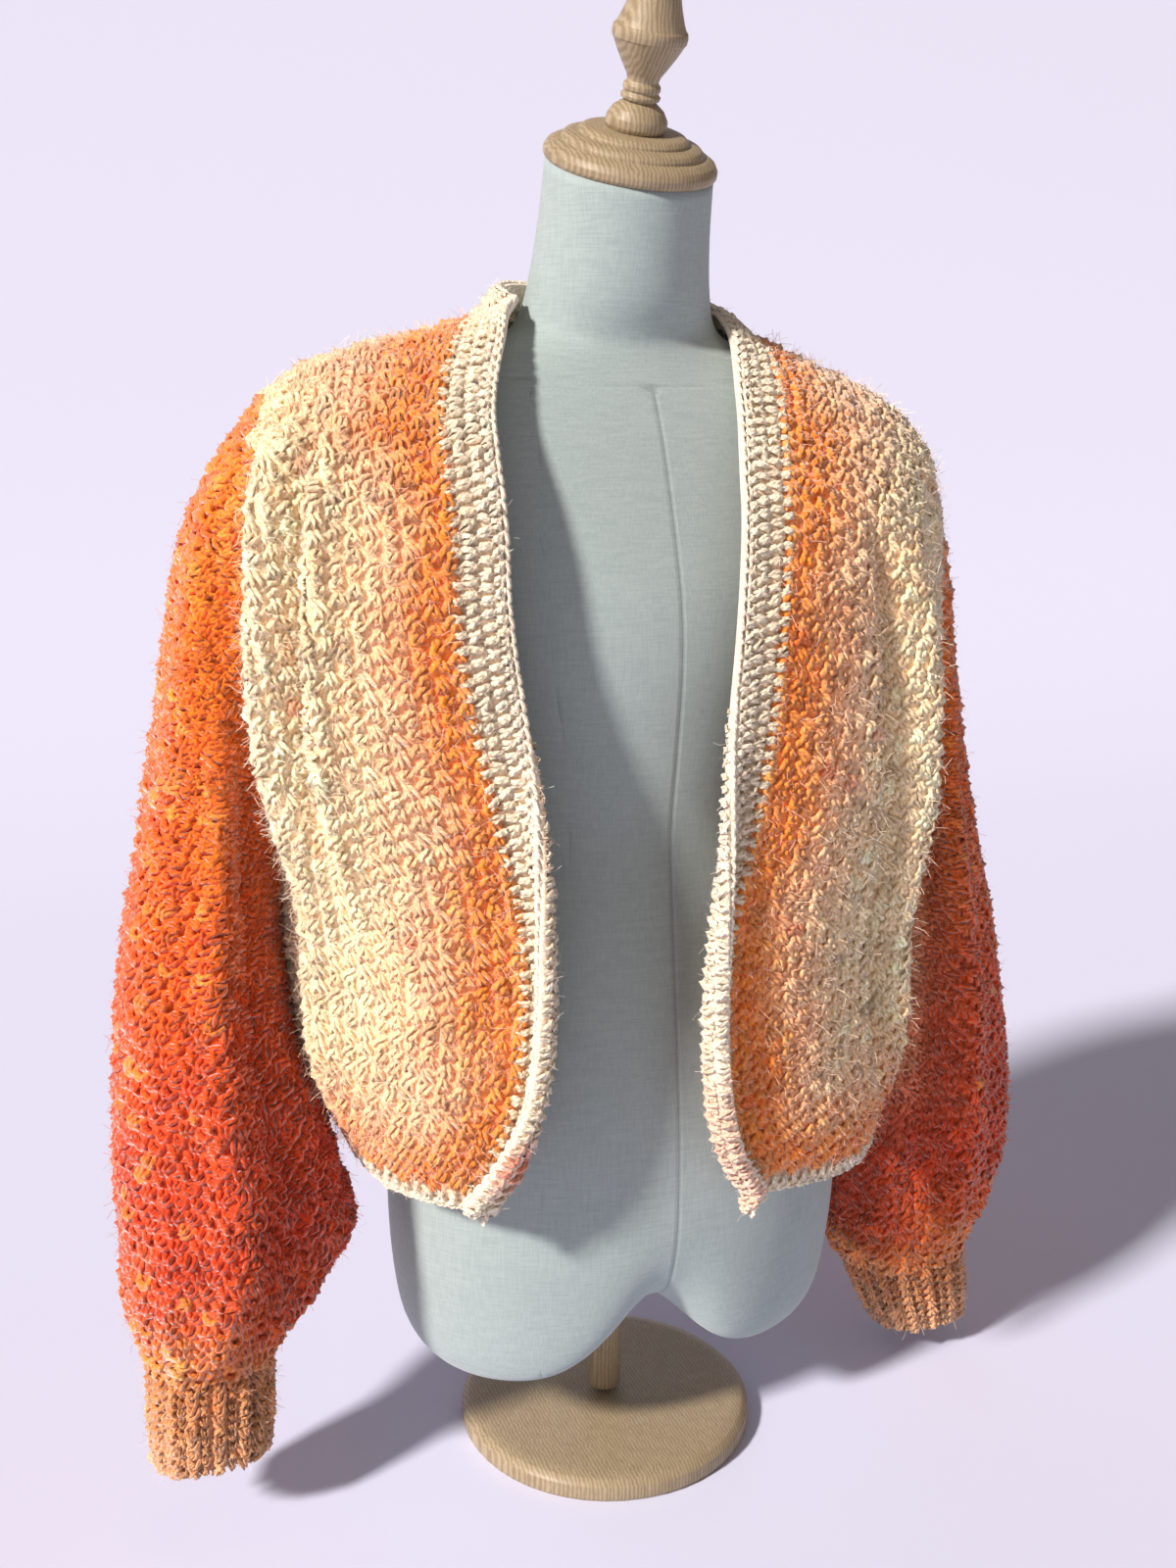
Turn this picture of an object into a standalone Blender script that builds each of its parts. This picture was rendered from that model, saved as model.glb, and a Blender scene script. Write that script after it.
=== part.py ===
"""Open-front crocheted cardigan hung on a limbless dress form with a low plain stand.

Metres, +Z up. The wearer faces -Y, so the wearer's right is at -X. The origin is on the
floor below the middle of the whole box. The tables are in centimetres from the form's own
axis, with heights above its thigh ends, which stand THIGH_HEIGHT above the floor.
"""
from math import acos, cos, degrees, exp, pi, radians, sin, sqrt

import bmesh
import bpy
from mathutils import Matrix, Vector

CM = 0.01
COLLECTION = "cardigan_on_dress_form"

# Driving sizes in centimetres
THIGH_HEIGHT = 10.6
BOX_MIDDLE = (-0.296, -0.797)
CLOTH = 0.42
SEAM_GAP = 0.03
BAND_WIDTH = 3.1
BAND_RELIEF = 0.10
CHAIN_WIDTH = 0.55
CHAIN_RELIEF = 0.16
ROLL_FLATNESS = 0.72
HEM_HEIGHT = 1.3
CUFF_RIBS = 16
RIB_RELIEF = 0.22
CAP_TILT = 21.4
ARMHOLE_BOTTOM = 4.0
ARMHOLE_TOP = 10.2
NECK_ROW = 14.0

# How far the armholes open to front and back, and how steeply the band stands at the neck,
# in degrees
ARM_FRONT = 12.0
ARM_BACK = 20.0
NECK_RISE_SIDE = 55.0
NECK_RISE_BACK = 12.0

# Rows and columns of the walls
PANEL_ROWS_BELOW = 6
PANEL_ROWS_ABOVE = 4
ARMHOLE_STEPS = 12
FRONT_COLUMNS = 13
BACK_COLUMNS = 24
SLEEVE_ROWS = 15
RIB_COLUMNS = 4
CUFF_ROWS = 2
FORM_ROWS = 25

# One row for each level of the cardigan's body, hem to neck: height, half widths on the
# wearer's right and left, depths to front and back, middle of the section, squareness,
# drop towards the wearer's left for each centimetre across, then where each front ends
# and how far (radians) its band has rolled outwards.
BODY = (
    dict(z=16.8, right=21.0, left=20.0, front=14.0, back=13.6, y=0.0, power=3.1, tilt=0.085,
         end_right=-15.2, roll_right=3.0, end_left=6.0, roll_left=3.1),
    dict(z=20.5, right=22.9, left=20.8, front=14.8, back=14.4, y=0.0, power=2.9, tilt=0.075,
         end_right=-13.7, roll_right=3.0, end_left=3.3, roll_left=3.1),
    dict(z=25.5, right=24.4, left=21.4, front=15.1, back=15.0, y=0.0, power=2.6, tilt=0.06,
         end_right=-12.4, roll_right=2.9, end_left=2.1, roll_left=3.0),
    dict(z=31.5, right=24.9, left=21.9, front=15.1, back=15.2, y=0.0, power=2.4, tilt=0.05,
         end_right=-11.9, roll_right=2.8, end_left=1.9, roll_left=2.8),
    dict(z=37.0, right=25.2, left=22.9, front=15.1, back=15.2, y=0.0, power=2.4, tilt=0.045,
         end_right=-12.3, roll_right=2.4, end_left=2.5, roll_left=2.3),
    dict(z=43.0, right=27.0, left=24.8, front=15.0, back=15.0, y=0.0, power=2.4, tilt=0.04,
         end_right=-13.5, roll_right=1.4, end_left=3.8, roll_left=1.3),
    dict(z=50.0, right=28.2, left=25.3, front=14.8, back=14.8, y=0.0, power=2.4, tilt=0.04,
         end_right=-15.1, roll_right=0.3, end_left=5.0, roll_left=0.3),
    dict(z=57.0, right=28.3, left=25.1, front=14.4, back=14.4, y=0.0, power=2.4, tilt=0.04,
         end_right=-16.0, roll_right=0.0, end_left=5.8, roll_left=0.0),
    dict(z=63.0, right=27.8, left=25.0, front=13.2, back=13.8, y=0.1, power=2.4, tilt=0.04,
         end_right=-15.9, roll_right=0.0, end_left=6.6, roll_left=0.0),
    dict(z=66.8, right=26.9, left=24.8, front=11.6, back=12.6, y=0.3, power=2.3, tilt=0.048,
         end_right=-15.7, roll_right=0.0, end_left=7.3, roll_left=0.0),
    dict(z=69.2, right=25.3, left=24.3, front=10.2, back=11.4, y=0.5, power=2.2, tilt=0.058,
         end_right=-15.4, roll_right=0.0, end_left=8.0, roll_left=0.0),
    dict(z=71.6, right=22.4, left=21.9, front=8.6, back=10.0, y=0.7, power=2.1, tilt=0.053,
         end_right=-14.6, roll_right=0.0, end_left=8.7, roll_left=0.0),
    dict(z=73.4, right=18.0, left=17.7, front=7.2, back=8.8, y=0.9, power=2.0, tilt=0.05,
         end_right=-13.4, roll_right=0.0, end_left=9.4, roll_left=0.0),
    dict(z=74.9, right=13.2, left=13.2, front=5.6, back=7.8, y=1.2, power=2.0, tilt=0.04,
         end_right=-11.9, roll_right=0.0, end_left=10.0, roll_left=0.0),
    dict(z=76.0, right=10.3, left=10.3, front=2.8, back=7.6, y=1.4, power=2.0, tilt=0.03,
         end_right=-10.15, roll_right=0.0, end_left=10.15, roll_left=0.0),
)

# Folds of the body: bearing in degrees round the section (0 wearer's left side, 90 front,
# 180 right side, 270 back) at the hem, halfway and at the shoulder, width in degrees,
# height, and the levels between which the fold runs.
FOLDS = (
    dict(low=166, mid=158, high=153, width=5.0, height=1.0, start=0.4, end=10.0),
    dict(low=172, mid=166, high=161, width=5.0, height=-1.1, start=4.2, end=9.6),
    dict(low=27, mid=44, high=62, width=6.0, height=1.3, start=0.3, end=8.8),
    dict(low=16, mid=31, high=47, width=7.0, height=-2.3, start=4.0, end=9.0),
    dict(low=128, mid=132, high=130, width=7.0, height=0.45, start=0.0, end=5.5),
    dict(low=206, mid=209, high=204, width=6.0, height=0.9, start=0.3, end=9.2),
    dict(low=217, mid=220, high=216, width=6.0, height=-0.7, start=1.5, end=8.5),
    dict(low=243, mid=238, high=240, width=7.0, height=0.6, start=0.2, end=6.5),
    dict(low=278, mid=283, high=280, width=8.0, height=0.5, start=0.2, end=5.0),
    dict(low=309, mid=312, high=306, width=6.5, height=0.8, start=0.3, end=8.0),
    dict(low=322, mid=323, high=319, width=6.0, height=-0.8, start=2.0, end=8.8),
    dict(low=334, mid=334, high=331, width=5.5, height=0.8, start=0.3, end=9.2),
)

# One row for each ring of a sleeve, armhole to cuff: its outermost and innermost points
# (distance out from the middle, height), depths to front and back, its middle, and how
# far its front and back stand outwards of the line between those points.
SLEEVE_RIGHT = (
    dict(out=25.4, out_z=70.6, under=25.4, under_z=38.1, front=3.3, back=5.5, y=0.6, stand=1.4),
    dict(out=29.0, out_z=64.8, under=25.5, under_z=35.5, front=3.8, back=6.8, y=0.4, stand=1.6),
    dict(out=30.9, out_z=57.8, under=25.4, under_z=32.5, front=4.5, back=7.2, y=0.2, stand=1.5),
    dict(out=32.7, out_z=48.5, under=25.3, under_z=29.5, front=5.2, back=7.4, y=0.0, stand=1.2),
    dict(out=35.0, out_z=39.0, under=24.7, under_z=26.0, front=5.8, back=7.0, y=-0.3, stand=0.8),
    dict(out=36.7, out_z=29.5, under=23.6, under_z=21.8, front=6.2, back=7.2, y=-0.7, stand=0.3),
    dict(out=37.4, out_z=20.5, under=22.3, under_z=17.2, front=6.4, back=7.2, y=-1.0, stand=0.0),
    dict(out=37.6, out_z=13.0, under=21.7, under_z=12.6, front=6.2, back=7.0, y=-1.2, stand=0.0),
    dict(out=37.2, out_z=8.0, under=24.2, under_z=8.2, front=5.4, back=6.0, y=-1.3, stand=0.0),
    dict(out=36.3, out_z=4.6, under=26.8, under_z=4.6, front=4.0, back=4.3, y=-1.3, stand=0.0),
    dict(out=36.0, out_z=2.4, under=28.0, under_z=2.4, front=3.0, back=3.0, y=-1.3, stand=0.0),
)
SLEEVE_LEFT = (
    dict(out=24.6, out_z=68.6, under=24.6, under_z=36.4, front=3.3, back=5.5, y=0.6, stand=1.2),
    dict(out=26.0, out_z=63.0, under=24.8, under_z=33.6, front=3.6, back=6.2, y=0.8, stand=1.2),
    dict(out=27.2, out_z=55.5, under=24.2, under_z=30.5, front=4.2, back=7.0, y=1.0, stand=1.2),
    dict(out=29.3, out_z=46.0, under=23.6, under_z=27.5, front=5.0, back=7.4, y=1.2, stand=0.9),
    dict(out=31.6, out_z=37.0, under=23.1, under_z=23.8, front=5.6, back=7.6, y=1.3, stand=0.6),
    dict(out=34.2, out_z=27.5, under=22.6, under_z=19.2, front=6.0, back=7.6, y=1.2, stand=0.2),
    dict(out=36.4, out_z=17.5, under=21.6, under_z=14.0, front=6.2, back=7.3, y=1.0, stand=0.0),
    dict(out=37.0, out_z=9.5, under=20.7, under_z=8.6, front=6.0, back=6.8, y=0.6, stand=0.0),
    dict(out=35.6, out_z=3.8, under=20.6, under_z=4.2, front=5.2, back=5.8, y=0.3, stand=0.0),
    dict(out=33.9, out_z=0.6, under=21.6, under_z=0.8, front=4.2, back=4.4, y=0.0, stand=0.0),
    dict(out=33.2, out_z=-1.8, under=23.2, under_z=-1.8, front=3.4, back=3.4, y=-0.2, stand=0.0),
)
# The left cuff is pushed up: shorter, more slanted and drawn in more than the right one.
SIDES = (
    dict(name="right", sign=-1, rows=SLEEVE_RIGHT, cuff=6.8, slant=0.3, sway=-0.5, taper=0.96),
    dict(name="left", sign=1, rows=SLEEVE_LEFT, cuff=5.8, slant=1.6, sway=-0.4, taper=0.78),
)
SLEEVE_POWER = 2.3
CREASE = 0.8
CREASE_WIDTH = 14.0
GATHERS = 6
GATHER_DEPTH = 0.28

# One row for each level of the form, thigh ends to neck: height, half width, depths to
# front and back, middle, squareness, and how much the level rises towards the back.
FORM = (
    dict(z=-1.5, side=13.6, front=8.2, back=8.0, y=0.2, power=2.4, rise=0.0),
    dict(z=-0.9, side=15.7, front=9.8, back=9.4, y=0.2, power=2.4, rise=0.0),
    dict(z=0.9, side=17.2, front=10.7, back=10.3, y=0.2, power=2.3, rise=0.0),
    dict(z=4.2, side=18.0, front=11.2, back=10.8, y=0.1, power=2.2, rise=0.0),
    dict(z=9.0, side=18.4, front=11.5, back=11.3, y=0.0, power=2.2, rise=0.0),
    dict(z=14.5, side=18.4, front=11.7, back=11.6, y=0.0, power=2.1, rise=0.0),
    dict(z=20.5, side=17.6, front=11.5, back=11.4, y=0.0, power=2.1, rise=0.0),
    dict(z=27.0, side=15.8, front=10.8, back=10.4, y=0.0, power=2.1, rise=0.0),
    dict(z=35.0, side=13.8, front=9.9, back=8.8, y=0.0, power=2.1, rise=0.0),
    dict(z=41.0, side=13.0, front=9.4, back=8.2, y=0.0, power=2.1, rise=0.0),
    dict(z=47.0, side=13.9, front=10.2, back=8.8, y=0.0, power=2.1, rise=0.0),
    dict(z=53.0, side=15.5, front=10.9, back=9.8, y=0.0, power=2.2, rise=0.0),
    dict(z=58.0, side=16.8, front=10.6, back=10.4, y=0.0, power=2.2, rise=0.0),
    dict(z=63.0, side=17.8, front=9.4, back=10.4, y=0.2, power=2.3, rise=0.0),
    dict(z=67.5, side=18.2, front=8.0, back=9.6, y=0.4, power=2.3, rise=0.0),
    dict(z=70.6, side=17.6, front=6.8, back=8.6, y=0.6, power=2.2, rise=0.0),
    dict(z=72.58, side=15.6, front=5.9, back=7.6, y=0.8, power=2.1, rise=0.0),
    dict(z=73.96, side=12.4, front=5.4, back=6.8, y=0.9, power=2.0, rise=0.0),
    dict(z=75.07, side=9.0, front=5.2, back=6.1, y=0.9, power=2.0, rise=0.05),
    dict(z=76.2, side=7.3, front=5.3, back=6.2, y=0.8, power=2.0, rise=0.10),
    dict(z=78.6, side=6.5, front=5.8, back=5.9, y=0.5, power=2.0, rise=0.16),
    dict(z=82.5, side=6.0, front=5.7, back=5.6, y=-0.3, power=2.0, rise=0.27),
    dict(z=86.5, side=5.8, front=5.4, back=5.4, y=-1.2, power=2.0, rise=0.392),
)
ARCH_HEIGHT = 4.9
ARCH_MIDDLE = -1.2
ARCH_HALF_WIDTH = 5.0
ARCH_FADE = 13.0
ARCH_POWER = 1.9
FORM_LEAN = 0.8
CLEFT = 0.22
CLEFT_WIDTH = 2.8

# Bearings of the form's columns over a quarter, closer together over the arch
FORM_QUARTER = (0, 12, 24, 36, 47, 57, 66, 73, 79, 84)

# Tips of the band below the hem: length below it and share of the band's width
TIPS = {"right": ((1.4, 0.5), (0.8, 0.85)), "left": ((2.6, 0.4), (1.5, 0.75))}

# Hem edging: distance down and height of its two raised rows
HEM_SECTION = ((SEAM_GAP, 0.0), (0.4, 0.08), (0.8, 0.02), (1.1, 0.10), (HEM_HEIGHT, 0.0))
HEM_DRAW_IN = 0.18
HEM_END_GAP = 0.12

# Turned profiles: radius and height along the axis, bottom to top
CAP_PROFILE = (
    (5.85, 0.0), (6.0, 0.22), (6.0, 0.6), (5.75, 1.0), (5.25, 1.28), (4.92, 1.34),
    (4.88, 1.52), (4.65, 1.76), (4.2, 1.9), (3.82, 1.94), (3.78, 2.1), (3.5, 2.32), (3.1, 2.4),
)
FINIAL_PROFILE = (
    (1.95, 2.43), (2.12, 2.7), (2.08, 3.2), (1.75, 3.75), (1.3, 4.1), (1.06, 4.25), (1.3, 4.38),
    (1.36, 4.6), (1.16, 4.82), (1.28, 5.0), (1.26, 5.25), (1.06, 5.5), (1.16, 5.85), (1.58, 6.5),
    (2.0, 7.2), (2.32, 7.82), (2.38, 7.95), (2.5, 8.08), (2.54, 8.4), (2.48, 8.72), (2.34, 8.86),
    (2.15, 9.25), (1.85, 10.1), (1.62, 10.9), (1.56, 11.5), (1.74, 11.7), (1.7, 12.0),
    (1.25, 12.2), (1.35, 12.7), (1.1, 13.3), (0.55, 13.65),
)
BASE_PROFILE = ((11.6, 0.0), (11.8, 0.3), (11.8, 1.3), (11.3, 1.75), (10.6, 1.9), (2.6, 2.0))
POST_RADIUS = 1.3
BASE_TOP = 2.0

MATERIALS = {
    "crochet_orange": dict(colour=(0.86, 0.33, 0.08, 1.0), roughness=0.95, metallic=0.0),
    "crochet_cream": dict(colour=(0.86, 0.74, 0.52, 1.0), roughness=0.95, metallic=0.0),
    "linen_cover": dict(colour=(0.62, 0.68, 0.68, 1.0), roughness=0.9, metallic=0.0),
    "turned_ash": dict(colour=(0.62, 0.46, 0.29, 1.0), roughness=0.55, metallic=0.0),
}


def between(rows, key, level):
    """Smooth value of one column at a level counted in rows."""
    last = len(rows) - 1
    i = min(max(int(level), 0), last - 1)
    t = level - i
    a = rows[max(i - 1, 0)][key]
    b = rows[i][key]
    c = rows[i + 1][key]
    d = rows[min(i + 2, last)][key]
    return 0.5 * (2 * b + (c - a) * t + (2 * a - 5 * b + 4 * c - d) * t * t
                  + (3 * b - a - 3 * c + d) * t ** 3)


def ease(value):
    t = min(max(value, 0.0), 1.0)
    return t * t * (3 - 2 * t)


def rounded(value, power):
    """Signed power of a cosine or sine, which squares a circle."""
    return abs(value) ** (2 / power) * (1 if value >= 0 else -1)


def fold_height(level, bearing):
    """Sum of the folds at a place on the body."""
    t = level / NECK_ROW
    total = 0.0
    for fold in FOLDS:
        middle = (fold["low"] * (1 - t) * (1 - 2 * t) + fold["mid"] * 4 * t * (1 - t)
                  + fold["high"] * t * (2 * t - 1))
        off = (degrees(bearing) - middle) / fold["width"]
        ramp = ease((level - fold["start"]) / 1.6) * ease((fold["end"] - level) / 2.2)
        total += fold["height"] * ramp * exp(-off * off)
    return total


def body_point(level, bearing):
    """Outer face of the body, in centimetres above the thigh ends."""
    c = cos(bearing)
    s = sin(bearing)
    power = between(BODY, "power", level)
    side = between(BODY, "left" if c >= 0 else "right", level)
    depth = between(BODY, "front" if s >= 0 else "back", level)
    reach = Vector((side * rounded(c, power), -depth * rounded(s, power), 0))
    reach *= 1 + fold_height(level, bearing) / reach.length
    x, y, _ = reach
    z = between(BODY, "z", level) - between(BODY, "tilt", level) * x
    return Vector((x, y + between(BODY, "y", level), z))


def body_normal(level, bearing):
    step = 0.02
    low = max(level - step, 0.0)
    high = min(level + step, NECK_ROW)
    up = body_point(high, bearing) - body_point(low, bearing)
    along = body_point(level, bearing + step) - body_point(level, bearing - step)
    return along.cross(up).normalized() * -1


def front_end(side, level):
    """Bearing at which a front stops and its band begins."""
    x = between(BODY, "end_" + side, level)
    width = between(BODY, "right" if x < 0 else "left", level)
    power = between(BODY, "power", level)
    ratio = min(abs(x) / width, 0.999) ** (power / 2)
    angle = acos(ratio)
    return pi - angle if x < 0 else angle


def turn_for(level, bearing, distance):
    """Change of bearing that moves a point a distance along the section."""
    step = 0.01
    run = (body_point(level, bearing + step) - body_point(level, bearing)).length
    return distance * step / run


def armhole(side, angle):
    """Level and bearing of the armhole's edge: 0 is the shoulder tip, 90 degrees the front."""
    middle = 0.5 * (ARMHOLE_TOP + ARMHOLE_BOTTOM)
    half = 0.5 * (ARMHOLE_TOP - ARMHOLE_BOTTOM)
    level = middle + half * cos(angle)
    s = sin(angle)
    swing = radians(ARM_FRONT if s >= 0 else ARM_BACK) * s
    bearing = pi - swing if side["sign"] < 0 else swing
    return level, bearing


def sleeve_ring(side, ring, angle):
    """Point on the sleeve's outer face, without regard to the armhole."""
    rows = side["rows"]
    top = Vector((between(rows, "out", ring), between(rows, "out_z", ring)))
    under = Vector((between(rows, "under", ring), between(rows, "under_z", ring)))
    part = ring / (len(rows) - 1)
    c = rounded(cos(angle), SLEEVE_POWER)
    s = rounded(sin(angle), SLEEVE_POWER)
    spot = 0.5 * (top + under) + 0.5 * (top - under) * c
    depth = between(rows, "front" if s >= 0 else "back", ring)
    turn = degrees(angle) % 360
    crease = CREASE * ease(part * 3) * ease((1 - part) * 5) * exp(-((turn - 90) / CREASE_WIDTH) ** 2)
    gather = GATHER_DEPTH * ease((part - 0.6) * 3) * ease((1 - part) * 12 + 0.2) * cos(GATHERS * angle)
    y = between(rows, "y", ring) - (depth + gather) * s - crease
    out = spot.x + between(rows, "stand", ring) * abs(s) + gather * c
    return Vector((side["sign"] * out, y, spot.y))


def sleeve_point(side, ring, angle):
    level, bearing = armhole(side, angle)
    edge = body_point(level, bearing)
    blend = ease(ring / 1.2)
    return edge.lerp(sleeve_ring(side, ring, angle), blend)


def sleeve_normal(side, ring, angle):
    step = 0.03
    last = len(SLEEVE_RIGHT) - 1
    low = max(ring - step, 0.0)
    high = min(ring + step, last) if ring > 0 else last / SLEEVE_ROWS
    down = sleeve_point(side, high, angle) - sleeve_point(side, low, angle)
    around = sleeve_point(side, ring, angle + step) - sleeve_point(side, ring, angle - step)
    return around.cross(down).normalized() * side["sign"]


def seam_frame(side, angle):
    """Shared direction of the wall where body and sleeve meet, and the way to the sleeve."""
    level, bearing = armhole(side, angle)
    run = body_point(*armhole(side, angle + 0.02)) - body_point(*armhole(side, angle - 0.02))
    run.normalize()
    normal = body_normal(level, bearing) + sleeve_normal(side, 0.0, angle)
    normal = (normal - run * normal.dot(run)).normalized()
    return normal, run.cross(normal) * -side["sign"]


def to_world(point):
    return Vector((point.x - BOX_MIDDLE[0], point.y - BOX_MIDDLE[1], point.z + THIGH_HEIGHT)) * CM


def add_object(name, bm, material, smooth_angle=50):
    bmesh.ops.recalc_face_normals(bm, faces=bm.faces)
    mesh = bpy.data.meshes.new(name)
    bm.to_mesh(mesh)
    bm.free()
    mesh.shade_smooth()
    mesh.set_sharp_from_angle(angle=radians(smooth_angle))
    mesh.materials.append(material)
    obj = bpy.data.objects.new(name, mesh)
    bpy.data.collections[COLLECTION].objects.link(obj)
    return obj


def sheet(name, outer, inner, material, closed=False):
    """Wall between two grids of points, rows of equal length, with its rims."""
    bm = bmesh.new()
    faces = []
    grids = [[[bm.verts.new(to_world(p)) for p in row] for row in grid] for grid in (outer, inner)]
    rows = len(outer)
    cols = len(outer[0])
    span = cols if closed else cols - 1
    for i in range(rows - 1):
        for j in range(span):
            k = (j + 1) % cols
            for grid in grids:
                faces.append((grid[i][j], grid[i][k], grid[i + 1][k], grid[i + 1][j]))
    for i in (0, rows - 1):
        for j in range(span):
            k = (j + 1) % cols
            faces.append((grids[0][i][j], grids[0][i][k], grids[1][i][k], grids[1][i][j]))
    if not closed:
        for j in (0, cols - 1):
            for i in range(rows - 1):
                faces.append((grids[0][i][j], grids[0][i + 1][j], grids[1][i + 1][j], grids[1][i][j]))
    for face in faces:
        bm.faces.new(face)
    return add_object(name, bm, material)


def panel_levels():
    """Levels of a panel's rows: even below the armhole, matched to the sleeve beside it."""
    below = [ARMHOLE_BOTTOM * i / PANEL_ROWS_BELOW for i in range(PANEL_ROWS_BELOW)]
    beside = [armhole(SIDES[0], pi - pi * i / ARMHOLE_STEPS)[0] for i in range(ARMHOLE_STEPS + 1)]
    above = [ARMHOLE_TOP + (NECK_ROW - ARMHOLE_TOP) * (i + 1) / PANEL_ROWS_ABOVE
             for i in range(PANEL_ROWS_ABOVE)]
    return below + beside + above


def side_bearing(side, face, level):
    """Bearing of a panel's side edge: side seam, armhole edge or shoulder seam."""
    base = pi if side["sign"] < 0 else 0.0
    toward = side["sign"] if face == "front" else -side["sign"]
    gap = turn_for(level, base, 0.5 * SEAM_GAP)
    swing = gap
    if ARMHOLE_BOTTOM < level < ARMHOLE_TOP:
        middle = 0.5 * (ARMHOLE_TOP + ARMHOLE_BOTTOM)
        half = 0.5 * (ARMHOLE_TOP - ARMHOLE_BOTTOM)
        open_angle = ARM_FRONT if face == "front" else ARM_BACK
        swing = max(gap, radians(open_angle) * sqrt(max(0.0, 1 - ((level - middle) / half) ** 2)))
    return base + toward * swing


def wall_at_side(side, face, level):
    """Outer point and wall direction at a panel's side edge."""
    bearing = side_bearing(side, face, level)
    point = body_point(level, bearing)
    if ARMHOLE_BOTTOM - 0.001 < level < ARMHOLE_TOP + 0.001:
        middle = 0.5 * (ARMHOLE_TOP + ARMHOLE_BOTTOM)
        half = 0.5 * (ARMHOLE_TOP - ARMHOLE_BOTTOM)
        angle = acos(min(max((level - middle) / half, -1.0), 1.0))
        if face == "back":
            angle = -angle
        return point, seam_frame(side, angle)[0]
    return point, body_normal(level, bearing)


def front_bearings(side, level):
    """Bearings across a front, from its band to its side."""
    start = front_end(side["name"], level)
    start -= side["sign"] * turn_for(level, start, SEAM_GAP)
    stop = side_bearing(side, "front", level)
    return [start + (stop - start) * j / FRONT_COLUMNS for j in range(FRONT_COLUMNS + 1)]


def back_bearings(level):
    """Bearings across the back, from the wearer's right to the left."""
    start = side_bearing(SIDES[0], "back", level)
    stop = side_bearing(SIDES[1], "back", level) + 2 * pi
    return [start + (stop - start) * j / BACK_COLUMNS for j in range(BACK_COLUMNS + 1)]


def panel(name, bearings, edges, material):
    """Wall over the body; edges gives the side whose seam ends a row, for first and last."""
    outer = []
    inner = []
    for level in panel_levels():
        row = []
        back = []
        turns = bearings(level)
        for j, bearing in enumerate(turns):
            point = body_point(level, bearing)
            normal = body_normal(level, bearing)
            if j == 0 and edges[0]:
                point, normal = wall_at_side(edges[0], edges[2], level)
            if j == len(turns) - 1 and edges[1]:
                point, normal = wall_at_side(edges[1], edges[2], level)
            row.append(point)
            back.append(point - normal * CLOTH)
        outer.append(row)
        inner.append(back)
    return sheet(name, outer, inner, material)


def sleeve(side, material):
    outer = []
    inner = []
    last = len(SLEEVE_RIGHT) - 1
    count = 2 * ARMHOLE_STEPS
    for i in range(SLEEVE_ROWS + 1):
        ring = last * i / SLEEVE_ROWS
        row = []
        back = []
        for j in range(count):
            angle = 2 * pi * j / count
            point = sleeve_point(side, ring, angle)
            normal = sleeve_normal(side, ring, angle)
            if i == 0:
                normal, onward = seam_frame(side, angle)
                point = point + onward * SEAM_GAP * (2 + 2 * cos(angle) ** 8)
            if i == SLEEVE_ROWS:
                normal = Vector((normal.x, normal.y, 0)).normalized()
            row.append(point)
            back.append(point - normal * CLOTH)
        outer.append(row)
        inner.append(back)
    return sheet(side["name"] + "_sleeve", outer, inner, material, closed=True)


def cuff(side, material):
    """Ribbed tube: ribs stand out on the outer face, and the inside is plain."""
    last = len(SLEEVE_RIGHT) - 1
    count = CUFF_RIBS * RIB_COLUMNS
    centre = 0.5 * (sleeve_ring(side, last, 0) + sleeve_ring(side, last, pi))
    outer = []
    inner = []
    for i in range(CUFF_ROWS + 1):
        t = i / CUFF_ROWS
        lean = Vector((side["sign"] * side["slant"], side["sway"], 0)) * t
        drop = Vector((0, 0, SEAM_GAP + side["cuff"] * t))
        size = 1 + (side["taper"] - 1) * t + 0.04 * sin(pi * t)
        row = []
        back = []
        for j in range(count):
            angle = 2 * pi * j / count
            edge = sleeve_ring(side, last, angle) - centre
            away = Vector((edge.x, edge.y, 0))
            base = centre + lean + away * size - drop
            rib = RIB_RELIEF * (0.5 + 0.5 * cos(CUFF_RIBS * angle))
            row.append(base + away.normalized() * (rib - 0.5 * RIB_RELIEF))
            back.append(base - away.normalized() * CLOTH)
        outer.append(row)
        inner.append(back)
    return sheet(side["name"] + "_cuff", outer, inner, material, closed=True)


def band_path():
    """Points from the right hem up, round the back neck and down to the left hem."""
    path = []
    for name in ("right", "left"):
        half = []
        low = front_end(name, 0)
        for length, share in TIPS[name]:
            half.append(dict(point=body_point(0, low) - Vector((0, 0, length)), level=0.0,
                             bearing=low, width=share, roll=name))
        for level in panel_levels():
            bearing = front_end(name, level)
            half.append(dict(point=body_point(level, bearing), level=level, bearing=bearing,
                             width=1.0, roll=name))
        if name == "right":
            path += half
            for bearing in back_bearings(NECK_ROW)[1:-1]:
                path.append(dict(point=body_point(NECK_ROW, bearing), level=NECK_ROW,
                                 bearing=bearing, width=1.0, roll="right"))
        else:
            path += half[::-1]
    return path


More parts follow.
